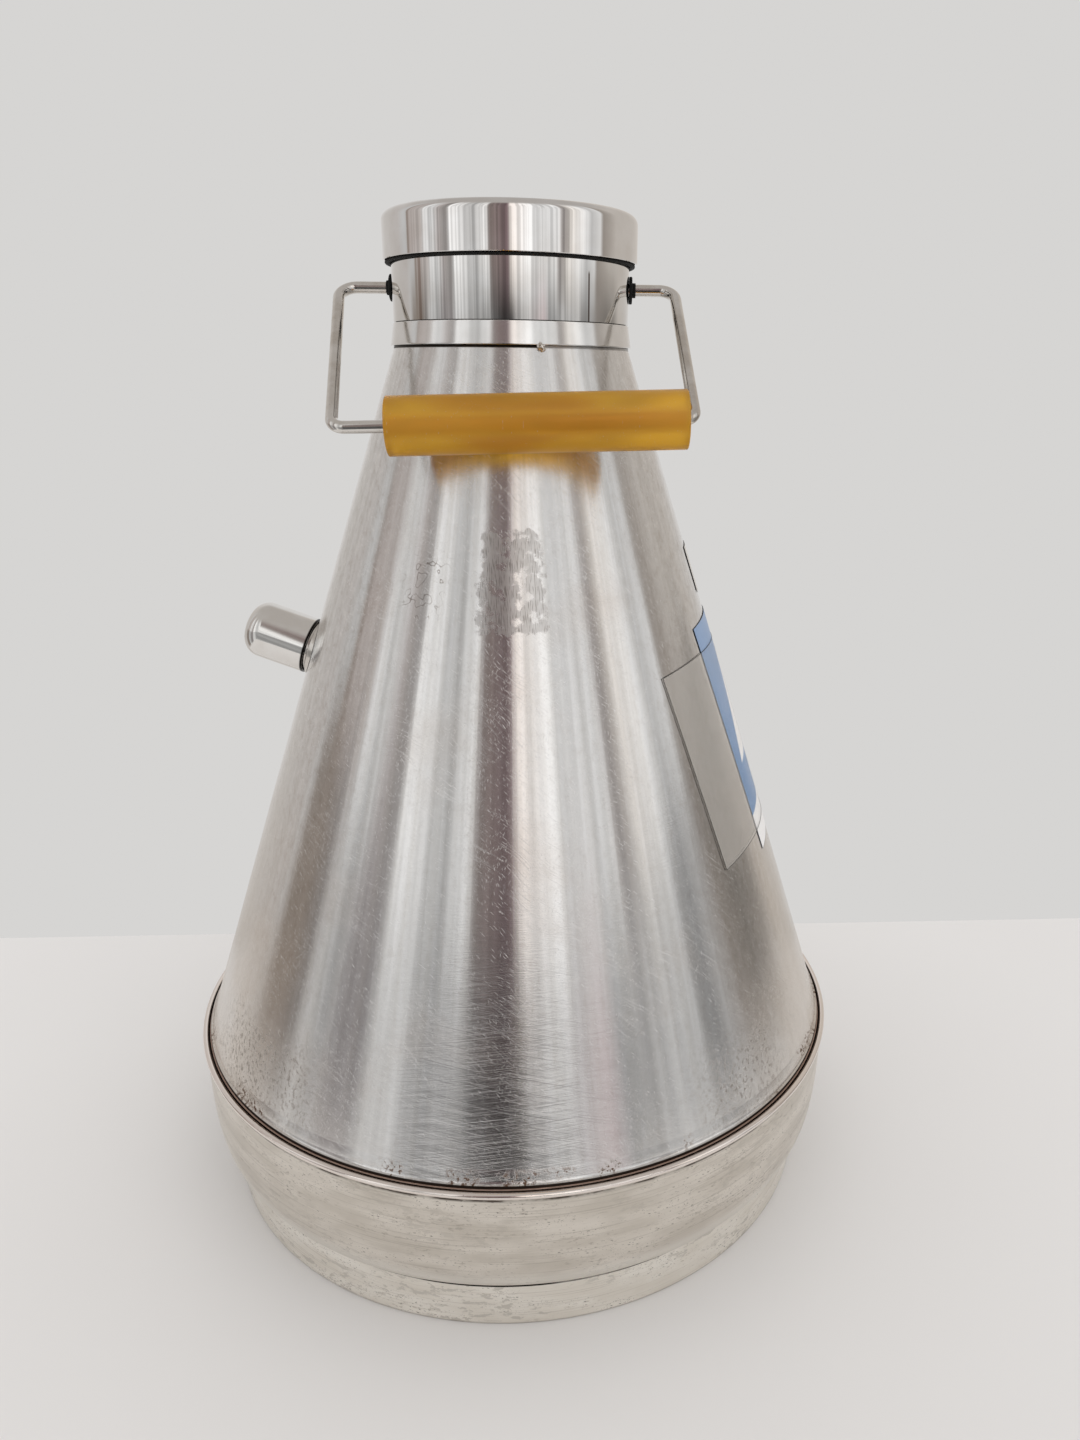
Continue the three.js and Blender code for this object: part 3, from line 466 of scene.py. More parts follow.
base_bowl = turned("base_bowl", [
    *floor_points, (193.2, 32.5), (193.8, 32.5), *bowl_side(0)[1:], *bend(208.5, 101.5, 1.92, -60, 190, 20),
    (206.2, 101.1), (203.2, 101.1), (203.2, 100.2), (206.2, 100.0), *bowl_side(bowl_wall)[:1:-1],
    *[(r, z + bowl_wall) for r, z in reversed(floor_points)],
], bowl_steel, "vessel", 256, closed=False)
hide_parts("base_bowl")


# Cone: a sheet rolled and welded down the back, then polished by hand, so that it mirrors the
# room in long streaks. Its foot is flared into a ledge that lies on the bowl's lip.
APEX = 0.7286  # height in metres at which the cone would come to a point
CONE_ANGLE = math.radians(18.115)


def cone_radius(height):
    """Outer radius of the sheet at a height, both in millimetres."""
    return 67.5 + 0.32713 * (522.3 - height)


def flattened(tree):
    """The cone's surface rolled out flat, in metres, with its seam at the back."""
    turned_by, split = from_axis(tree)
    slant = calc(tree, "MULTIPLY", calc(tree, "SUBTRACT", APEX, split[2]), 1 / math.cos(CONE_ANGLE))
    fan = calc(tree, "MULTIPLY", turned_by, math.sin(CONE_ANGLE))
    along = calc(tree, "MULTIPLY", slant, calc(tree, "SINE", fan))
    down = calc(tree, "MULTIPLY", slant, calc(tree, "COSINE", fan))
    return joined(tree, along, down), turned_by, split


def zone(tree, value, low, high, soft):
    """One between two values, with soft ends."""
    rise = between(tree, value, low - soft, low + soft)
    return masked(tree, rise, between(tree, value, high + soft, high - soft))


cone_steel, tree, shader = new_finish("polished_cone_steel", 1.0)
sheet, turned_by, split = flattened(tree)
height = split[2]
reach = length_of(tree, *split[:2])
clouds = noise(tree, sheet, 16.0, 4.0)
wander = wire(tree, "ShaderNodeTexNoise", {"Vector": sheet, "Scale": 20.0, "Detail": 1.0}).outputs["Color"]
feeds = {0: wander, 1: (0.02, 0.02, 0), 2: sheet}
bent_sheet = wire(tree, "ShaderNodeVectorMath", feeds, operation="MULTIPLY_ADD").outputs[0]

# Marks of the hand: scratches, rubbed places, and dark and light lines brushed across its foot.
low_part = between(tree, height, 0.26, 0.14)
long_marks = needles(tree, bent_sheet, 0.060, 0.0022, 38, (0.1, 0.2, 0), 0.17)
short_marks = needles(tree, bent_sheet, 0.032, 0.0018, -52, (0.4, 0.1, 0), 0.18)
upright_marks = needles(tree, bent_sheet, 0.050, 0.0030, 78, (0.6, 0.5, 0), 0.13)
rubbed = blots(tree, bent_sheet, (0.030, 0.0006, 1), angle=33, start=(0.2, 0.6, 0))
rubbed = between(tree, rubbed, 0.56, 0.7)
brushed = blots(tree, sheet, (0.036, 0.0004, 1), angle=-7, start=(0.7, 0.3, 0))
crossed = blots(tree, sheet, (0.045, 0.0006, 1), angle=11, start=(0.1, 0.8, 0))
off_front = apart(tree, turned_by, 0.02)
front_foot = masked(tree, low_part, between(tree, off_front, 0.38, 0.12, 0.12, 1.0))
dark_lines = most(tree, between(tree, brushed, 0.46, 0.36), between(tree, crossed, 0.45, 0.35))
brushed = most(tree, between(tree, brushed, 0.53, 0.64), between(tree, crossed, 0.56, 0.68))
brushed = masked(tree, brushed, front_foot)
worn = between(tree, clouds, 0.40, 0.60)
marks = most(tree, long_marks, masked(tree, short_marks, worn), upright_marks,
             masked(tree, rubbed, worn, 0.5), masked(tree, brushed, 0.55))

# Bare steel, cloudy and mottled, browner and dull at the sides and pitted low down.
mean_radius = 0.13
round_way = joined(tree, calc(tree, "MULTIPLY", turned_by, mean_radius), height)
ripples = blots(tree, round_way, (0.007, 0.0003, 1), 0.0)
streaks = blots(tree, round_way, (0.004, 0.3, 1), 3.0)
colour = blend(tree, between(tree, streaks, 0.3, 0.7), (0.685, 0.67, 0.65, 1), (0.765, 0.755, 0.745, 1))
colour = blend(tree, between(tree, clouds, 0.5, 0.72, 0.0, 0.35), colour, (0.63, 0.575, 0.53, 1))
colour = blend(tree, masked(tree, marks, 0.3), colour, (0.95, 0.93, 0.90, 1))
colour = blend(tree, masked(tree, dark_lines, front_foot, 0.5), colour, (0.36, 0.345, 0.34, 1))
round_side = between(tree, apart(tree, turned_by, 0.1), 0.5, 1.1)
mottle = blots(tree, sheet, (0.005, 0.008, 1), 6.0, 0.72)
mottle_share = scaled(tree, round_side, 0.30, 0.16)
for low, high, tone in ((0.50, 0.66, (0.50, 0.455, 0.41, 1)), (0.48, 0.34, (0.90, 0.88, 0.85, 1))):
    colour = blend(tree, masked(tree, between(tree, mottle, low, high), mottle_share), colour, tone)
patina = masked(tree, round_side, between(tree, height, 0.34, 0.14),
                between(tree, clouds, 0.25, 0.6, 0.55, 1.0))
colour = blend(tree, masked(tree, patina, 0.75), colour, (0.69, 0.62, 0.545, 1))
corroded = blots(tree, sheet, (0.0022, 0.0035, 1), 5.0, 0.7)
corroded_sides = most(tree, zone(tree, turned_by, -1.1, -0.55, 0.12), zone(tree, turned_by, 0.62, 0.95, 0.1))
corroded_zone = masked(tree, zone(tree, height, 0.108, 0.150, 0.014), corroded_sides)
corroded = masked(tree, between(tree, corroded, 0.51, 0.60), corroded_zone,
                  between(tree, clouds, 0.3, 0.6, 0.5, 1.0))
colour = blend(tree, masked(tree, corroded, 0.65), colour, (0.24, 0.205, 0.175, 1))

# What is left of two labels, then dirt, a painted shadow under the collar, rust and the weld down the back.
glue_edge = scaled(tree, noise(tree, sheet, 60.0, 3.0), 0.05, -0.025)
glue_way = calc(tree, "ADD", turned_by, glue_edge)
glue_height = calc(tree, "ADD", height, masked(tree, glue_edge, 0.25))
glue = masked(tree, zone(tree, glue_way, -0.13, 0.26, 0.07), zone(tree, glue_height, 0.376, 0.431, 0.004))
glue_blots = blots(tree, sheet, (0.008, 0.008, 1), 5.0, 0.6)
glue_lines = blots(tree, sheet, (0.007, 0.0005, 1), 3.0, angle=86)
glue = between(tree, masked(tree, glue, glue_blots), 0.37, 0.50)
colour = blend(tree, masked(tree, glue, 0.35), colour, (0.66, 0.64, 0.62, 1))
glue_lines = masked(tree, glue, between(tree, glue_lines, 0.52, 0.62))
colour = blend(tree, masked(tree, glue_lines, 0.7), colour, (0.30, 0.275, 0.255, 1))
curls = apart(tree, noise(tree, sheet, 150.0, 1.0), 0.56)
old_glue = masked(tree, zone(tree, glue_way, -0.49, -0.25, 0.05), zone(tree, height, 0.384, 0.415, 0.004))
old_glue = masked(tree, old_glue, between(tree, curls, 0.018, 0.008), between(tree, clouds, 0.36, 0.46))
colour = blend(tree, masked(tree, old_glue, 0.75), colour, (0.25, 0.215, 0.19, 1))
# Painted shadow: a dark band on the cone just under the collar's free lower edge, fainter beyond one side of
# the front.
painted_shadow_under_collar = masked(tree, zone(tree, height, 0.5208, 0.5228, 0.0003),
                     between(tree, turned_by, 0.34, 0.27, 0.45, 1.0))
colour = blend(tree, painted_shadow_under_collar, colour, (0.035, 0.028, 0.022, 1))
specks = needles(tree, sheet, 0.009, 0.016, 20, (0.3, 0.3, 0), 0.085)
specks = masked(tree, specks, between(tree, clouds, 0.42, 0.55))
colour = blend(tree, masked(tree, specks, 0.8), colour, (0.12, 0.10, 0.09, 1))
rust_height = between(tree, height, 0.1135, 0.1085)
rust_spots = between(tree, noise(tree, sheet, 420.0, 3.0, 0.65), 0.5, 0.6)
rust_zones = between(tree, blots(tree, sheet, (0.03, 0.03, 1), 1.0), 0.5, 0.6)
rust = masked(tree, rust_spots, rust_zones, rust_height)
colour = blend(tree, masked(tree, rust, 0.9), colour, (0.15, 0.07, 0.03, 1))
edge_dirt = between(tree, reach, 0.20505, 0.20535)
rim = zone(tree, height, 0.1026, 0.1031, 0.0001)
colour = blend(tree, edge_dirt, colour, blend(tree, rim, (0.04, 0.028, 0.022, 1), (0.62, 0.46, 0.38, 1)))
seam_line = between(tree, calc(tree, "ABSOLUTE", turned_by), math.pi - 0.022, math.pi - 0.014)
bead = blots(tree, sheet, (0.01, 0.0016, 1), 1.0)
seam_share = masked(tree, seam_line, between(tree, bead, 0.4, 0.6, 0.2, 0.6))
colour = blend(tree, seam_share, colour, (0.5, 0.46, 0.41, 1))

tree.links.new(scaled(tree, marks, -0.45, 1.0), shader.inputs["Metallic"])
shader.inputs["Anisotropic"].default_value = 0.85
shader.inputs["Anisotropic Rotation"].default_value = 0.25
round_axis = wire(tree, "ShaderNodeTangent", direction_type="RADIAL", axis="Z").outputs[0]
tree.links.new(round_axis, shader.inputs["Tangent"])
dull = scaled(tree, clouds, 0.09, between(tree, height, 0.36, 0.49, 0.10, 0.18))
dull = scaled(tree, marks, 0.10, dull)
dull = scaled(tree, glue, 0.18, dull)
dull = scaled(tree, patina, 0.08, dull)
rough_spots = most(tree, rust, masked(tree, corroded, 0.4), edge_dirt)
dull = scaled(tree, most(tree, rough_spots, painted_shadow_under_collar), 0.35, dull)
coat(tree, shader, colour, dull)
relief_height = scaled(tree, marks, -0.12, masked(tree, ripples, 0.2))
relief_height = scaled(tree, rough_spots, -0.8, relief_height)
relief_height = scaled(tree, masked(tree, seam_line, bead), 3.0, relief_height)
relief(tree, shader, relief_height, 0.35, 0.00022)

outer_cone = turned("outer_cone", [
    (200.0, 101.6), (206.0, 101.6), *bend(205.85, 102.75, 0.15, 0, 90, 2), (205.4, 102.95),
    *bend(205.0, 104.55, 0.4, 0, 90, 5), (204.5, 105.15), (204.0, 105.9), (203.55, 107.2), (203.05, 109.2),
    (cone_radius(112), 112), (cone_radius(530.3), 530.3), (cone_radius(530.3) - 1.5, 530.3),
    (cone_radius(105.03) - 1.5, 105.03),
], cone_steel, "vessel", 320)
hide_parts("outer_cone")


# Collar: a narrow conical band that covers the joint of cone and neck. It is welded to the
# neck all round and held to the cone by one tack of weld metal at the front.
def polished_steel(name, low, high, roughness, top=1.0):
    """Mirror-bright steel with faint upright streaks, hairline marks and small dark spots.

    Above the height of its top, the streaks run round the axis."""
    finish, tree, shader = new_finish(name, 1.0)
    round_way, _, split = unrolled(tree, 0.07)
    streaks = blots(tree, round_way, (0.002, 0.09, 1), 3.0)
    place = object_place(tree)
    on_top = between(tree, split[2], top - 0.0006, top - 0.0001)
    rings = noise(tree, length_of(tree, *split[:2]), 900.0)
    clouds = noise(tree, place, 60.0, 3.0)
    hairs = most(tree, needles(tree, round_way, 0.020, 0.0022, 64, (0.2, 0.3, 0), 0.09),
                 needles(tree, round_way, 0.026, 0.0030, -35, (0.5, 0.1, 0), 0.08))
    spots = masked(tree, needles(tree, round_way, 0.007, 0.007, 0, (0.1, 0.6, 0), 0.07),
                   between(tree, clouds, 0.45, 0.6))
    colour = blend(tree, between(tree, clouds, 0.3, 0.7), low, high)
    colour = blend(tree, masked(tree, spots, 0.75), colour, (0.16, 0.13, 0.11, 1))
    streaks = wire(tree, "ShaderNodeMix", {0: on_top, 2: streaks, 3: rings}).outputs[0]
    dull = scaled(tree, streaks, 0.04, roughness - 0.02)
    dull = scaled(tree, on_top, 0.09, dull)
    dull = scaled(tree, hairs, 0.12, dull)
    dull = scaled(tree, spots, 0.2, dull)
    coat(tree, shader, colour, dull)
    waves = blots(tree, round_way, (0.010, 0.05, 1), 1.0)
    waves = wire(tree, "ShaderNodeMix", {0: on_top, 2: waves, 3: masked(tree, rings, 0.05)}).outputs[0]
    relief(tree, shader, scaled(tree, hairs, -0.04, waves), 0.035, 0.0006)
    return finish, tree, shader


collar_steel, _, _ = polished_steel("collar_steel", (0.74, 0.725, 0.705, 1), (0.81, 0.80, 0.785, 1), 0.14)
collar_ring = turned("collar_ring", [
    (67.9, 522.3), (69.1, 522.3), *bend(69.1, 522.6, 0.3, -90, 0, 3), *bend(67.3, 534.1, 0.35, 5, 80, 4),
    (66, 534.5),
], collar_steel, "vessel", 256)
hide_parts("collar_ring")
tack_azimuth = math.radians(-72.4)
tack_reach = 0.0687
tack_at = Vector((tack_reach * math.cos(tack_azimuth), tack_reach * math.sin(tack_azimuth), 0.5216))
bead_mesh = bmesh.new()
bmesh.ops.create_icosphere(bead_mesh, subdivisions=4, radius=1)
for vertex in bead_mesh.verts:
    x, y, z = vertex.co
    lump = 1 + 0.10 * math.sin(5 * x + 1) * math.cos(4 * z) + 0.06 * math.sin(9 * z + 3 * y)
    vertex.co = Vector((x * 0.0024, y * 0.0017, z * 0.0023)) * lump
    vertex.co += Vector((0, 0, -0.0006 * (x > 0)))
spin = Matrix.Translation(tack_at) @ Matrix.Rotation(tack_azimuth + math.pi / 2, 4, "Z")
bmesh.ops.transform(bead_mesh, matrix=spin, verts=bead_mesh.verts)
tack_mesh = bpy.data.meshes.new("collar_tack_weld")
bead_mesh.to_mesh(tack_mesh)
bead_mesh.free()
tack_mesh.shade_smooth()
tack = bpy.data.objects.new("tack_weld", tack_mesh)
scene.collection.objects.link(tack)
weld_metal, tree, shader = new_finish("weld_metal", 1.0)
place = object_place(tree)
scale = noise(tree, place, 900.0, 3.0)
colour = blend(tree, between(tree, scale, 0.45, 0.62), (0.92, 0.88, 0.83, 1), (0.45, 0.38, 0.31, 1))
coat(tree, shader, colour, between(tree, scale, 0.3, 0.7, 0.22, 0.5))
relief(tree, shader, scale, 0.4, 0.0003)
tack_mesh.materials.append(weld_metal)
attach(tack, "vessel")
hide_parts("collar_tack_weld")


# Neck: a mirror-polished sleeve that carries the bail, with a ring at its top that joins it to
# the thin tube down into the flask. Two dark upright stripes are painted down its front, one on each side, as
# painted reflections of narrow dark things in the room.
def overpaint(tree, shader, share, tone):
    """Lays one more tone over a finish that is already wired."""
    clean = shader.inputs["Base Color"].links[0].from_socket
    tree.links.new(blend(tree, share, clean, tone), shader.inputs["Base Color"])


neck_steel, tree, shader = polished_steel(
    "mirror_neck_steel", (0.72, 0.70, 0.675, 1), (0.78, 0.77, 0.755, 1), 0.025)
turned_by, split = from_axis(tree)
# Painted reflections: two brownish dark upright stripes, standing in for narrow dark things mirrored in the
# neck.
painted_reflection_wide = zone(tree, turned_by, -0.734, -0.698, 0.006)
overpaint(tree, shader, masked(tree, painted_reflection_wide, 0.8), (0.40, 0.33, 0.29, 1))
painted_reflection_thin = masked(tree, zone(tree, turned_by, 0.729, 0.745, 0.003), between(tree, split[2], 0.5605, 0.558))
overpaint(tree, shader, painted_reflection_thin, (0.13, 0.10, 0.085, 1))
neck_sleeve = turned("neck_sleeve", [
    (66, 534.8), (67.5, 534.8), *bend(67.1, 587.0, 0.4, 0, 90, 3), (66, 587.4),
], neck_steel, "vessel", 256)
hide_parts("neck_sleeve")
neck_top_ring = turned("neck_top_ring", [
    (49.3, 585.4), (65.7, 585.4), (65.7, 587.2), (65.5, 587.4), (49.5, 587.4), (49.3, 587.2),
], neck_steel, "vessel", 128)
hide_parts("neck_top_ring")

# Lid: a shallow cap pressed from steel and polished, with a rounded edge at the top. It is
# loose on the neck, over a rubber ring, and lifts straight off with the plug below it.
lid_steel, _, _ = polished_steel(
    "mirror_lid_steel", (0.74, 0.72, 0.70, 1), (0.81, 0.80, 0.79, 1), 0.025, top=0.5925)
lid_cap = turned("lid_cap", [
    (0, 591), *bend(67, 587.5, 3.5, 90, 0), (70.5, 567.3), (70.8, 567), (71.7, 567), (72, 567.3),
    *bend(67, 587.5, 5, 0, 90, 12), (0, 592.5),
], lid_steel, "lid", 256, closed=False)
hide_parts("lid_cap")


# Gasket and pivot washers: moulded black rubber. The gasket is held in the lid; a washer, a
# slim disc with a hub hardly thicker than the rod, is pushed on each end of the bail.
def rubber(name, low, high, roughness, dust):
    finish, tree, shader = new_finish(name, 0.0)
    place = object_place(tree)
    cloud = noise(tree, place, 90.0, 4.0, 0.6)
    colour = blend(tree, between(tree, cloud, 0.35, 0.75), low, high)
    grain = noise(tree, place, 900.0, 2.0, 0.7)
    colour = blend(tree, between(tree, grain, 0.62, 0.75, 0.0, 0.5), colour, dust)
    coat(tree, shader, colour, between(tree, cloud, 0.2, 0.8, roughness - 0.1, roughness + 0.1))
    shader.inputs["Specular IOR Level"].default_value = 0.25
    relief(tree, shader, grain, 0.15, 0.0002)
    return finish


black_rubber = rubber(
    "black_rubber", (0.004, 0.004, 0.004, 1), (0.012, 0.012, 0.011, 1), 0.7, (0.04, 0.038, 0.035, 1))
lid_gasket = turned("lid_gasket", [
    (47.25, 587.7), (67.9, 587.7), (67.9, 566.4), *bend(68.7, 566.4, 0.8, 180, 270, 4),
    *bend(70.0, 566.4, 0.8, 270, 360, 4), (70.2, 567.2), (70.2, 585.7),
    (65.2, 590.7), (47.25, 590.7),
], black_rubber, "lid", 192)
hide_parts("lid_gasket")
pivot_place = Matrix.Translation((0, 0, 0.554))
for side, turn_to in (("left", -1), ("right", 1)):
    washer = turned(side + "_pivot_washer", [
        (3.6, 67.65), (7.0, 67.65), *bend(6.9, 68.15, 0.5, -90, 0, 4), *bend(6.9, 68.95, 0.5, 0, 90, 4),
        (4.2, 69.5), (4.0, 69.7), (4.0, 71.2), (3.8, 71.4), (3.6, 71.4),
    ], black_rubber, "vessel", 64, pivot_place @ Matrix.Rotation(turn_to * math.pi / 2, 4, "Y"))
    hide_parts(side + "_pivot_washer")


# Bail: one length of round steel rod, bent cold at four places and tarnished. Its ends turn in
# blind cups in the neck, and it hangs to the front, where the grip lies on the cone.
def rod_tree():
    tree, inputs = open_tree("bent_rod", Path="Geometry", Radius="Float", Sides="Int", Steps="Int")
    path = wire(tree, "GeometryNodeMeshToCurve", {0: inputs["Path"]})
    bends = wire(tree, "GeometryNodeInputNamedAttribute", {"Name": "bend"}, data_type="FLOAT")
    feeds = {"Curve": path.outputs[0], "Radius": bends.outputs[0], "Count": inputs["Steps"]}
    rounded = wire(tree, "GeometryNodeFilletCurve", feeds, mode="POLY")
    feeds = {"Resolution": inputs["Sides"], "Radius": inputs["Radius"]}
    round_section = wire(tree, "GeometryNodeCurvePrimitiveCircle", feeds)
    feeds = {"Curve": rounded.outputs[0], "Profile Curve": round_section.outputs[0], "Fill Caps": True}
    return close_tree(tree, wire(tree, "GeometryNodeCurveToMesh", feeds), inputs["Finish"])


def rod_steel_finish():
    finish, tree, shader = new_finish("tarnished_rod_steel", 1.0)
    place = object_place(tree)
    cloud = noise(tree, place, 45.0, 4.0, 0.6)
    grain = noise(tree, place, 800.0, 2.0, 0.6)
    colour = blend(tree, between(tree, cloud, 0.35, 0.7), (0.74, 0.715, 0.68, 1), (0.56, 0.515, 0.46, 1))
    colour = blend(tree, between(tree, grain, 0.62, 0.74, 0.0, 0.35), colour, (0.34, 0.28, 0.225, 1))
    coat(tree, shader, colour, between(tree, cloud, 0.3, 0.7, 0.08, 0.18))
    relief(tree, shader, grain, 0.05, 0.0001)
    return finish


rod_steel = rod_steel_finish()
ROD_RADIUS = 0.00325
bail_hang = pivot_place @ Matrix.Rotation(math.radians(-53.778), 4, "X")
bail_corners = [  # across, up and the radius of the bend, in millimetres
    (-60.1, 0, 0), (-98.7, 0, 9.5), (-84, -124, 7), (101, -114, 6), (93.5, 0, 9.5), (60.1, 0, 0)]
bail = drawn("bail_handle", [(x / 1000, 0, z / 1000) for x, z, _ in bail_corners], False)
bends = bail.data.attributes.new("bend", "FLOAT", "POINT")
for index, (_, _, bend_radius) in enumerate(bail_corners):
    bends.data[index].value = bend_radius / 1000
settle(bail, rod_tree(), {"Radius": ROD_RADIUS, "Sides": 32, "Steps": 12, "Finish": rod_steel})
bail.data.transform(bail_hang)
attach(bail, "bail")
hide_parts("bail_handle")


def refinish(finish, *nodes):
    """Gives solids whose shape is right their finish."""
    for node in nodes:
        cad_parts[node].data.materials.clear()
        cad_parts[node].data.materials.append(finish)


refinish(rod_steel, "left_pivot_socket", "right_pivot_socket")

# Grip: a length of thick amber rubber tube, cut square, slipped on the rod before its last bend.
# It is loose, yellowed and dusted with pale specks, and clear enough to let some light through.
amber, tree, shader = new_finish("amber_rubber", 0.0)
place = object_place(tree)
cloud = blots(tree, place, (0.09, 0.03, 0.03))
flecks = masked(tree, needles(tree, place, 0.005, 0.005, share=0.13), between(tree, cloud, 0.4, 0.5))
colour = blend(tree, between(tree, cloud, 0.36, 0.64), (0.77, 0.395, 0.017, 1), (0.885, 0.50, 0.029, 1))
colour = blend(tree, masked(tree, flecks, 0.9), colour, (0.98, 0.94, 0.8, 1))
coat(tree, shader, colour, between(tree, cloud, 0.3, 0.7, 0.26, 0.38))
shader.inputs["IOR"].default_value = 1.41
shader.inputs["Transmission Weight"].default_value = 0.72
relief(tree, shader, noise(tree, place, 160.0, 3.0), 0.08, 0.0004)
bar_tilt = math.atan(10 / 185)
grip_placing = (
    bail_hang
    @ Matrix.Translation((0.02062, 0, -0.118345))
    @ Matrix.Rotation(math.pi / 2 - bar_tilt, 4, "Y")
)
grip = turned("grip_tube", [
    (4.5, -76.2), (4.8, -76.5), *bend(14.4, -75.9, 0.6, -90, 0, 4), *bend(14.4, 75.9, 0.6, 0, 90, 4),
    (4.8, 76.5), (4.5, 76.2),
], amber, "grip", 96, grip_placing)
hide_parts("grip_tube")

# Evacuation port: a short tube in a flange welded on the cone, shut by an O-ring plug. A
# polished cup is pushed on the tube to keep it clean; its mouth is painted black as painted shade.
port_azimuth = math.radians(175.2)
port_height = 0.3375
port_reach = cone_radius(port_height * 1000) / 1000
port_placing = (
    Matrix.Translation((port_reach * math.cos(port_azimuth), port_reach * math.sin(port_azimuth), port_height))
    @ Matrix.Rotation(port_azimuth, 4, "Z")
    @ Matrix.Rotation(math.pi / 2 - CONE_ANGLE, 4, "Y")
)
port_flange = turned("port_flange", [
    (16.3, -1.4), (18.25, -1.4), (18.25, 2.2), *bend(17.45, 2.2, 0.8, 0, 90, 5), (16.3, 3),
], rod_steel, "vessel", 96, port_placing)
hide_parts("port_flange")
port_tube = turned("port_tube", [
    (14.5, -3), (16, -3), (16, 29.7), (15.7, 30), (14.8, 30), (14.5, 29.7),
], rod_steel, "vessel", 96, port_placing)
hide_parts("port_tube")
port_plug = turned("port_plug", [
    (0, 17.3), (14.1, 17.3), (14.1, 22.65), (12.05, 22.65), (12.05, 24.95), (14.1, 24.95), (14.1, 30.3),
    (15.3, 30.3), *bend(14.9, 32.9, 0.4, 0, 90, 3), (12.5, 33.3), *bend(11.5, 41.3, 1, 0, 90, 4), (0, 42.3),
], rod_steel, "vessel", 96, port_placing, closed=False)
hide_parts("port_plug")
refinish(black_rubber, "port_plug_oring")
cap_steel, tree, shader = polished_steel(
    "mirror_cap_steel", (0.76, 0.735, 0.70, 1), (0.83, 0.815, 0.79, 1), 0.08)
port_axis = port_placing.to_3x3() @ Vector((0, 0, 1))
feeds = {0: object_place(tree), 1: port_axis}
up_port = wire(tree, "ShaderNodeVectorMath", feeds, operation="DOT_PRODUCT").outputs["Value"]
up_port = calc(tree, "SUBTRACT", up_port, port_placing.translation.dot(port_axis))
# Painted shade: the cup's mouth is made nearly black all round, for the dark gap between cup and tube.
painted_shade_at_cap_mouth = between(tree, up_port, 0.0066, 0.0058)
overpaint(tree, shader, painted_shade_at_cap_mouth, (0.012, 0.010, 0.008, 1))
port_cap = turned("port_cap", [
    (0, 45.4), *bend(7, 35.9, 9.5, 90, 0), (16.5, 5.2), (16.8, 4.9), (17.7, 4.9), (18, 5.2),
    *bend(7, 35.9, 11, 0, 90, 14), (0, 46.9),
], cap_steel, "port_cap", 128, port_placing, closed=False)
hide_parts("port_cap")


# Labels: thin printed film stuck on the cone's right side, bare of words: a large blue one with
# a white foot, a clear one with a black hairline border laid over it, and a small one above.
def label_tree():
    tree, inputs = open_tree("wrapped_label", Start="Geometry", Width="Float", Height="Float", Slant="Float",
                             Azimuth="Float", Lift="Float", Thickness="Float")
    feeds = {"Size X": inputs["Width"], "Size Y": inputs["Height"], "Vertices X": 49, "Vertices Y": 49}
    grid = wire(tree, "GeometryNodeMeshGrid", feeds)
    feeds = {"Geometry": grid.outputs["Mesh"], "Name": "label_place", "Value": grid.outputs["UV Map"]}
    kept = wire(tree, "GeometryNodeStoreNamedAttribute", feeds, data_type="FLOAT2", domain="CORNER")
    flat_x, flat_y, _ = split_up(tree, wire(tree, "GeometryNodeInputPosition").outputs[0])
    down = calc(tree, "SUBTRACT", inputs["Slant"], flat_y)
    slant = length_of(tree, flat_x, down)
    fan = calc(tree, "ARCTAN2", flat_x, down)
    azimuth = scaled(tree, fan, 1 / math.sin(CONE_ANGLE), inputs["Azimuth"])
    lift = inputs["Lift"]
    radius = calc(tree, "MULTIPLY", slant, math.sin(CONE_ANGLE))
    radius = scaled(tree, lift, math.cos(CONE_ANGLE), radius)
    height = scaled(tree, slant, -math.cos(CONE_ANGLE), APEX)
    height = scaled(tree, lift, math.sin(CONE_ANGLE), height)
    place = joined(tree, calc(tree, "MULTIPLY", radius, calc(tree, "COSINE", azimuth)),
                   calc(tree, "MULTIPLY", radius, calc(tree, "SINE", azimuth)), height)
    wrapped = wire(tree, "GeometryNodeSetPosition", {"Geometry": kept.outputs[0], "Position": place})
    feeds = {"Mesh": wrapped.outputs[0], "Offset Scale": inputs["Thickness"], "Individual": False}
    thick = wire(tree, "GeometryNodeExtrudeMesh", feeds)
    turned_back = wire(tree, "GeometryNodeFlipFaces", {0: wrapped.outputs[0]})
    both = wire(tree, "GeometryNodeJoinGeometry")
    tree.links.new(thick.outputs[0], both.inputs[0])
    tree.links.new(turned_back.outputs[0], both.inputs[0])
    return close_tree(tree, merged(tree, both), inputs["Finish"])


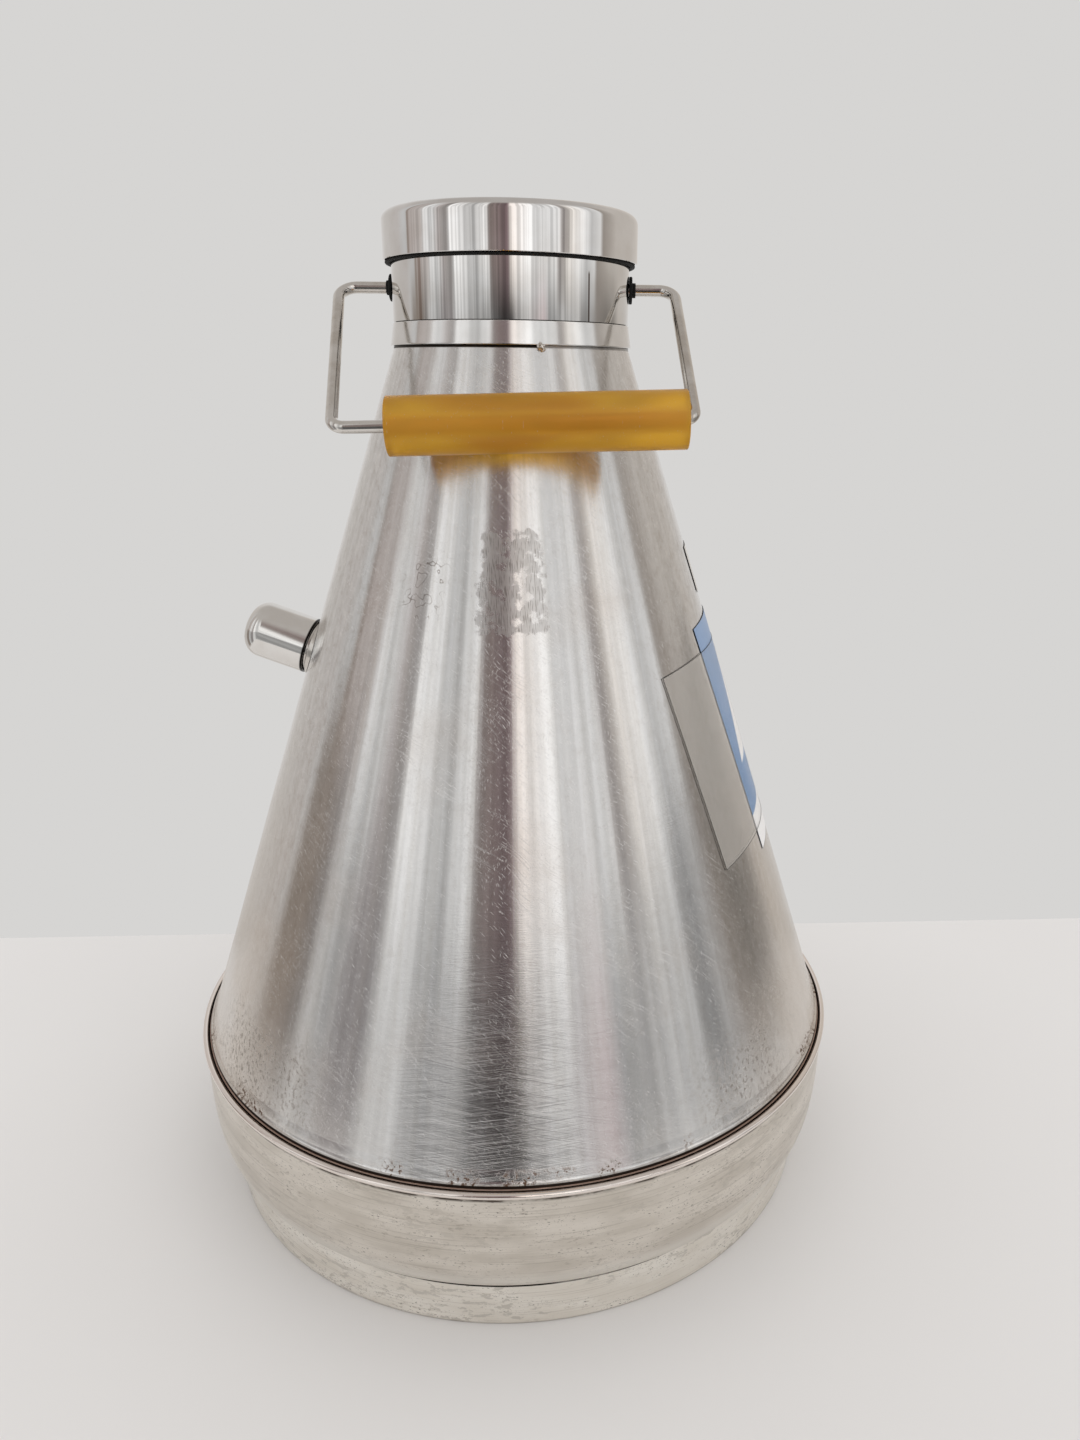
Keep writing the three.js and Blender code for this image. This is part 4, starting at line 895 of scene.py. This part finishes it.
def label_finish(name, face, border, border_share, band=None, foot_share=0.0):
    """Film of one tone with a border. With a band tone it gets a foot and a slanted panel of that."""
    finish, tree, shader = new_finish(name, 0.0)
    on_label = wire(tree, "ShaderNodeAttribute", attribute_name="label_place")
    across, up, _ = split_up(tree, on_label.outputs["Vector"])
    place = object_place(tree)
    cloud = noise(tree, place, 30.0, 4.0)
    worn_face = [0.7 * level + 0.08 for level in face[:3]] + [1]
    colour = blend(tree, between(tree, cloud, 0.5, 0.7, 0.0, 0.3), face, worn_face)
    colour = blend(tree, between(tree, up, 0.3, 1.0, 0.0, 0.14), colour, band or face)
    if band:
        colour = blend(tree, between(tree, up, foot_share, foot_share - 0.004), colour, band)
        panel = masked(tree, between(tree, scaled(tree, up, -0.70, across), -0.138, -0.134),
                       between(tree, up, 0.365, 0.370), between(tree, up, 0.80, 0.795),
                       between(tree, across, 0.90, 0.895))
        colour = blend(tree, panel, colour, band)
    edge = []
    for way, share in zip((across, up), border_share):
        inward = calc(tree, "SUBTRACT", 0.5, apart(tree, way, 0.5))
        edge.append(between(tree, inward, share, share * 0.8))
    edge = most(tree, *edge)
    coat(tree, shader, blend(tree, edge, colour, border), between(tree, cloud, 0.3, 0.7, 0.3, 0.45))
    relief(tree, shader, scaled(tree, noise(tree, place, 700.0), 0.1, cloud), 0.06, 0.0005)
    return finish, tree, shader, edge, across, up


blue_label = label_finish("blue_label", (0.125, 0.25, 0.46, 1), (0.03, 0.05, 0.09, 1), (0.0026, 0.0021),
                          (0.86, 0.84, 0.82, 1), 0.16)[0]
clear_film, tree, shader, edge, across, up = label_finish(
    "clear_film", (0.60, 0.56, 0.51, 1), (0.02, 0.02, 0.02, 1), (0.0021, 0.0026))
haze = between(tree, scaled(tree, up, 0.0588, across), 0.372, 0.378, 0.26, 0.05)
tree.links.new(most(tree, edge, haze), shader.inputs["Alpha"])
small_label = label_finish("small_label", (0.62, 0.58, 0.53, 1), (0.05, 0.045, 0.04, 1), (0.012, 0.008))[0]
labels = label_tree()
large_slant = (APEX - 0.3) / math.cos(CONE_ANGLE)
for name, width, height, slant, azimuth, lift, film, slot in (
    ("large_label", 0.105, 0.148, large_slant, 1, 0.0003, blue_label, "label_blue"),
    ("clear_label", 0.143, 0.119, large_slant + 0.003, -12, 0.0007, clear_film, "label_clear"),
    ("upper_label", 0.050, 0.029, large_slant - 0.102, 4.4, 0.0003, small_label, "label_clear"),
):
    label = drawn(name, [(0, 0, 0)], False)
    settle(label, labels, {
        "Width": width, "Height": height, "Slant": slant, "Azimuth": math.radians(azimuth), "Lift": lift,
        "Thickness": 0.00015, "Finish": film})
    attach(label, "vessel")
    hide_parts(name)


# Flask: the inner vessel of thin bright sheet in which the nitrogen stands, hung from its neck
# tube, wrapped in metallised film with a sorbent tray and a glass-fibre snubber beneath.
def sheet_finish(name, metallic, low, high, roughness, size, depth):
    finish, tree, shader = new_finish(name, metallic)
    place = object_place(tree)
    cloud = blots(tree, place, size, 4.0)
    coat(tree, shader, blend(tree, between(tree, cloud, 0.35, 0.65), low, high),
         between(tree, cloud, 0.3, 0.7, roughness - 0.06, roughness + 0.08))
    relief(tree, shader, cloud, 0.3, depth)
    return finish


flask_steel = sheet_finish(
    "bright_flask_steel", 1.0, (0.58, 0.58, 0.58, 1), (0.68, 0.685, 0.69, 1), 0.26, (0.03, 0.03, 0.002), 0.0002)
refinish(flask_steel, "neck_tube", "inner_shoulder", "inner_base")
film_wrap = sheet_finish(
    "metallised_film", 0.8, (0.72, 0.72, 0.70, 1), (0.85, 0.85, 0.83, 1), 0.34, (0.012, 0.012, 0.006), 0.0015)
refinish(film_wrap, "cone_insulation", "base_insulation", "neck_insulation")
tray_steel = sheet_finish(
    "sorbent_tray_steel", 1.0, (0.40, 0.385, 0.36, 1), (0.52, 0.50, 0.47, 1), 0.5, (0.02, 0.02, 0.02), 0.0004)
refinish(tray_steel, "sorbent_tray")
glass_fibre = sheet_finish(
    "glass_fibre_laminate", 0.0, (0.30, 0.34, 0.22, 1), (0.45, 0.50, 0.34, 1), 0.55, (0.002, 0.002, 0.0008),
    0.0003)
refinish(glass_fibre, "base_snubber")

# Neck plug: a stick of closed-cell foam under the lid, with three flutes down its side that let
# the boil-off out, clamped between two steel discs by a stud and a nut.
foam, tree, shader = new_finish("closed_cell_foam", 0.0)
place = object_place(tree)
cells = wire(tree, "ShaderNodeTexVoronoi", {"Vector": place, "Scale": 420.0}).outputs["Distance"]
yellowing = noise(tree, place, 22.0, 3.0)
colour = blend(tree, between(tree, yellowing, 0.35, 0.65), (0.80, 0.775, 0.70, 1), (0.70, 0.655, 0.55, 1))
colour = blend(tree, between(tree, cells, 0.45, 0.75, 0.0, 0.25), colour, (0.42, 0.39, 0.33, 1))
coat(tree, shader, colour, between(tree, cells, 0.2, 0.8, 0.7, 0.9))
relief(tree, shader, cells, 0.5, 0.0006)
refinish(foam, "plug_core")
refinish(flask_steel, "plug_head_disc", "plug_base_disc")
refinish(rod_steel, "plug_stud", "plug_nut")
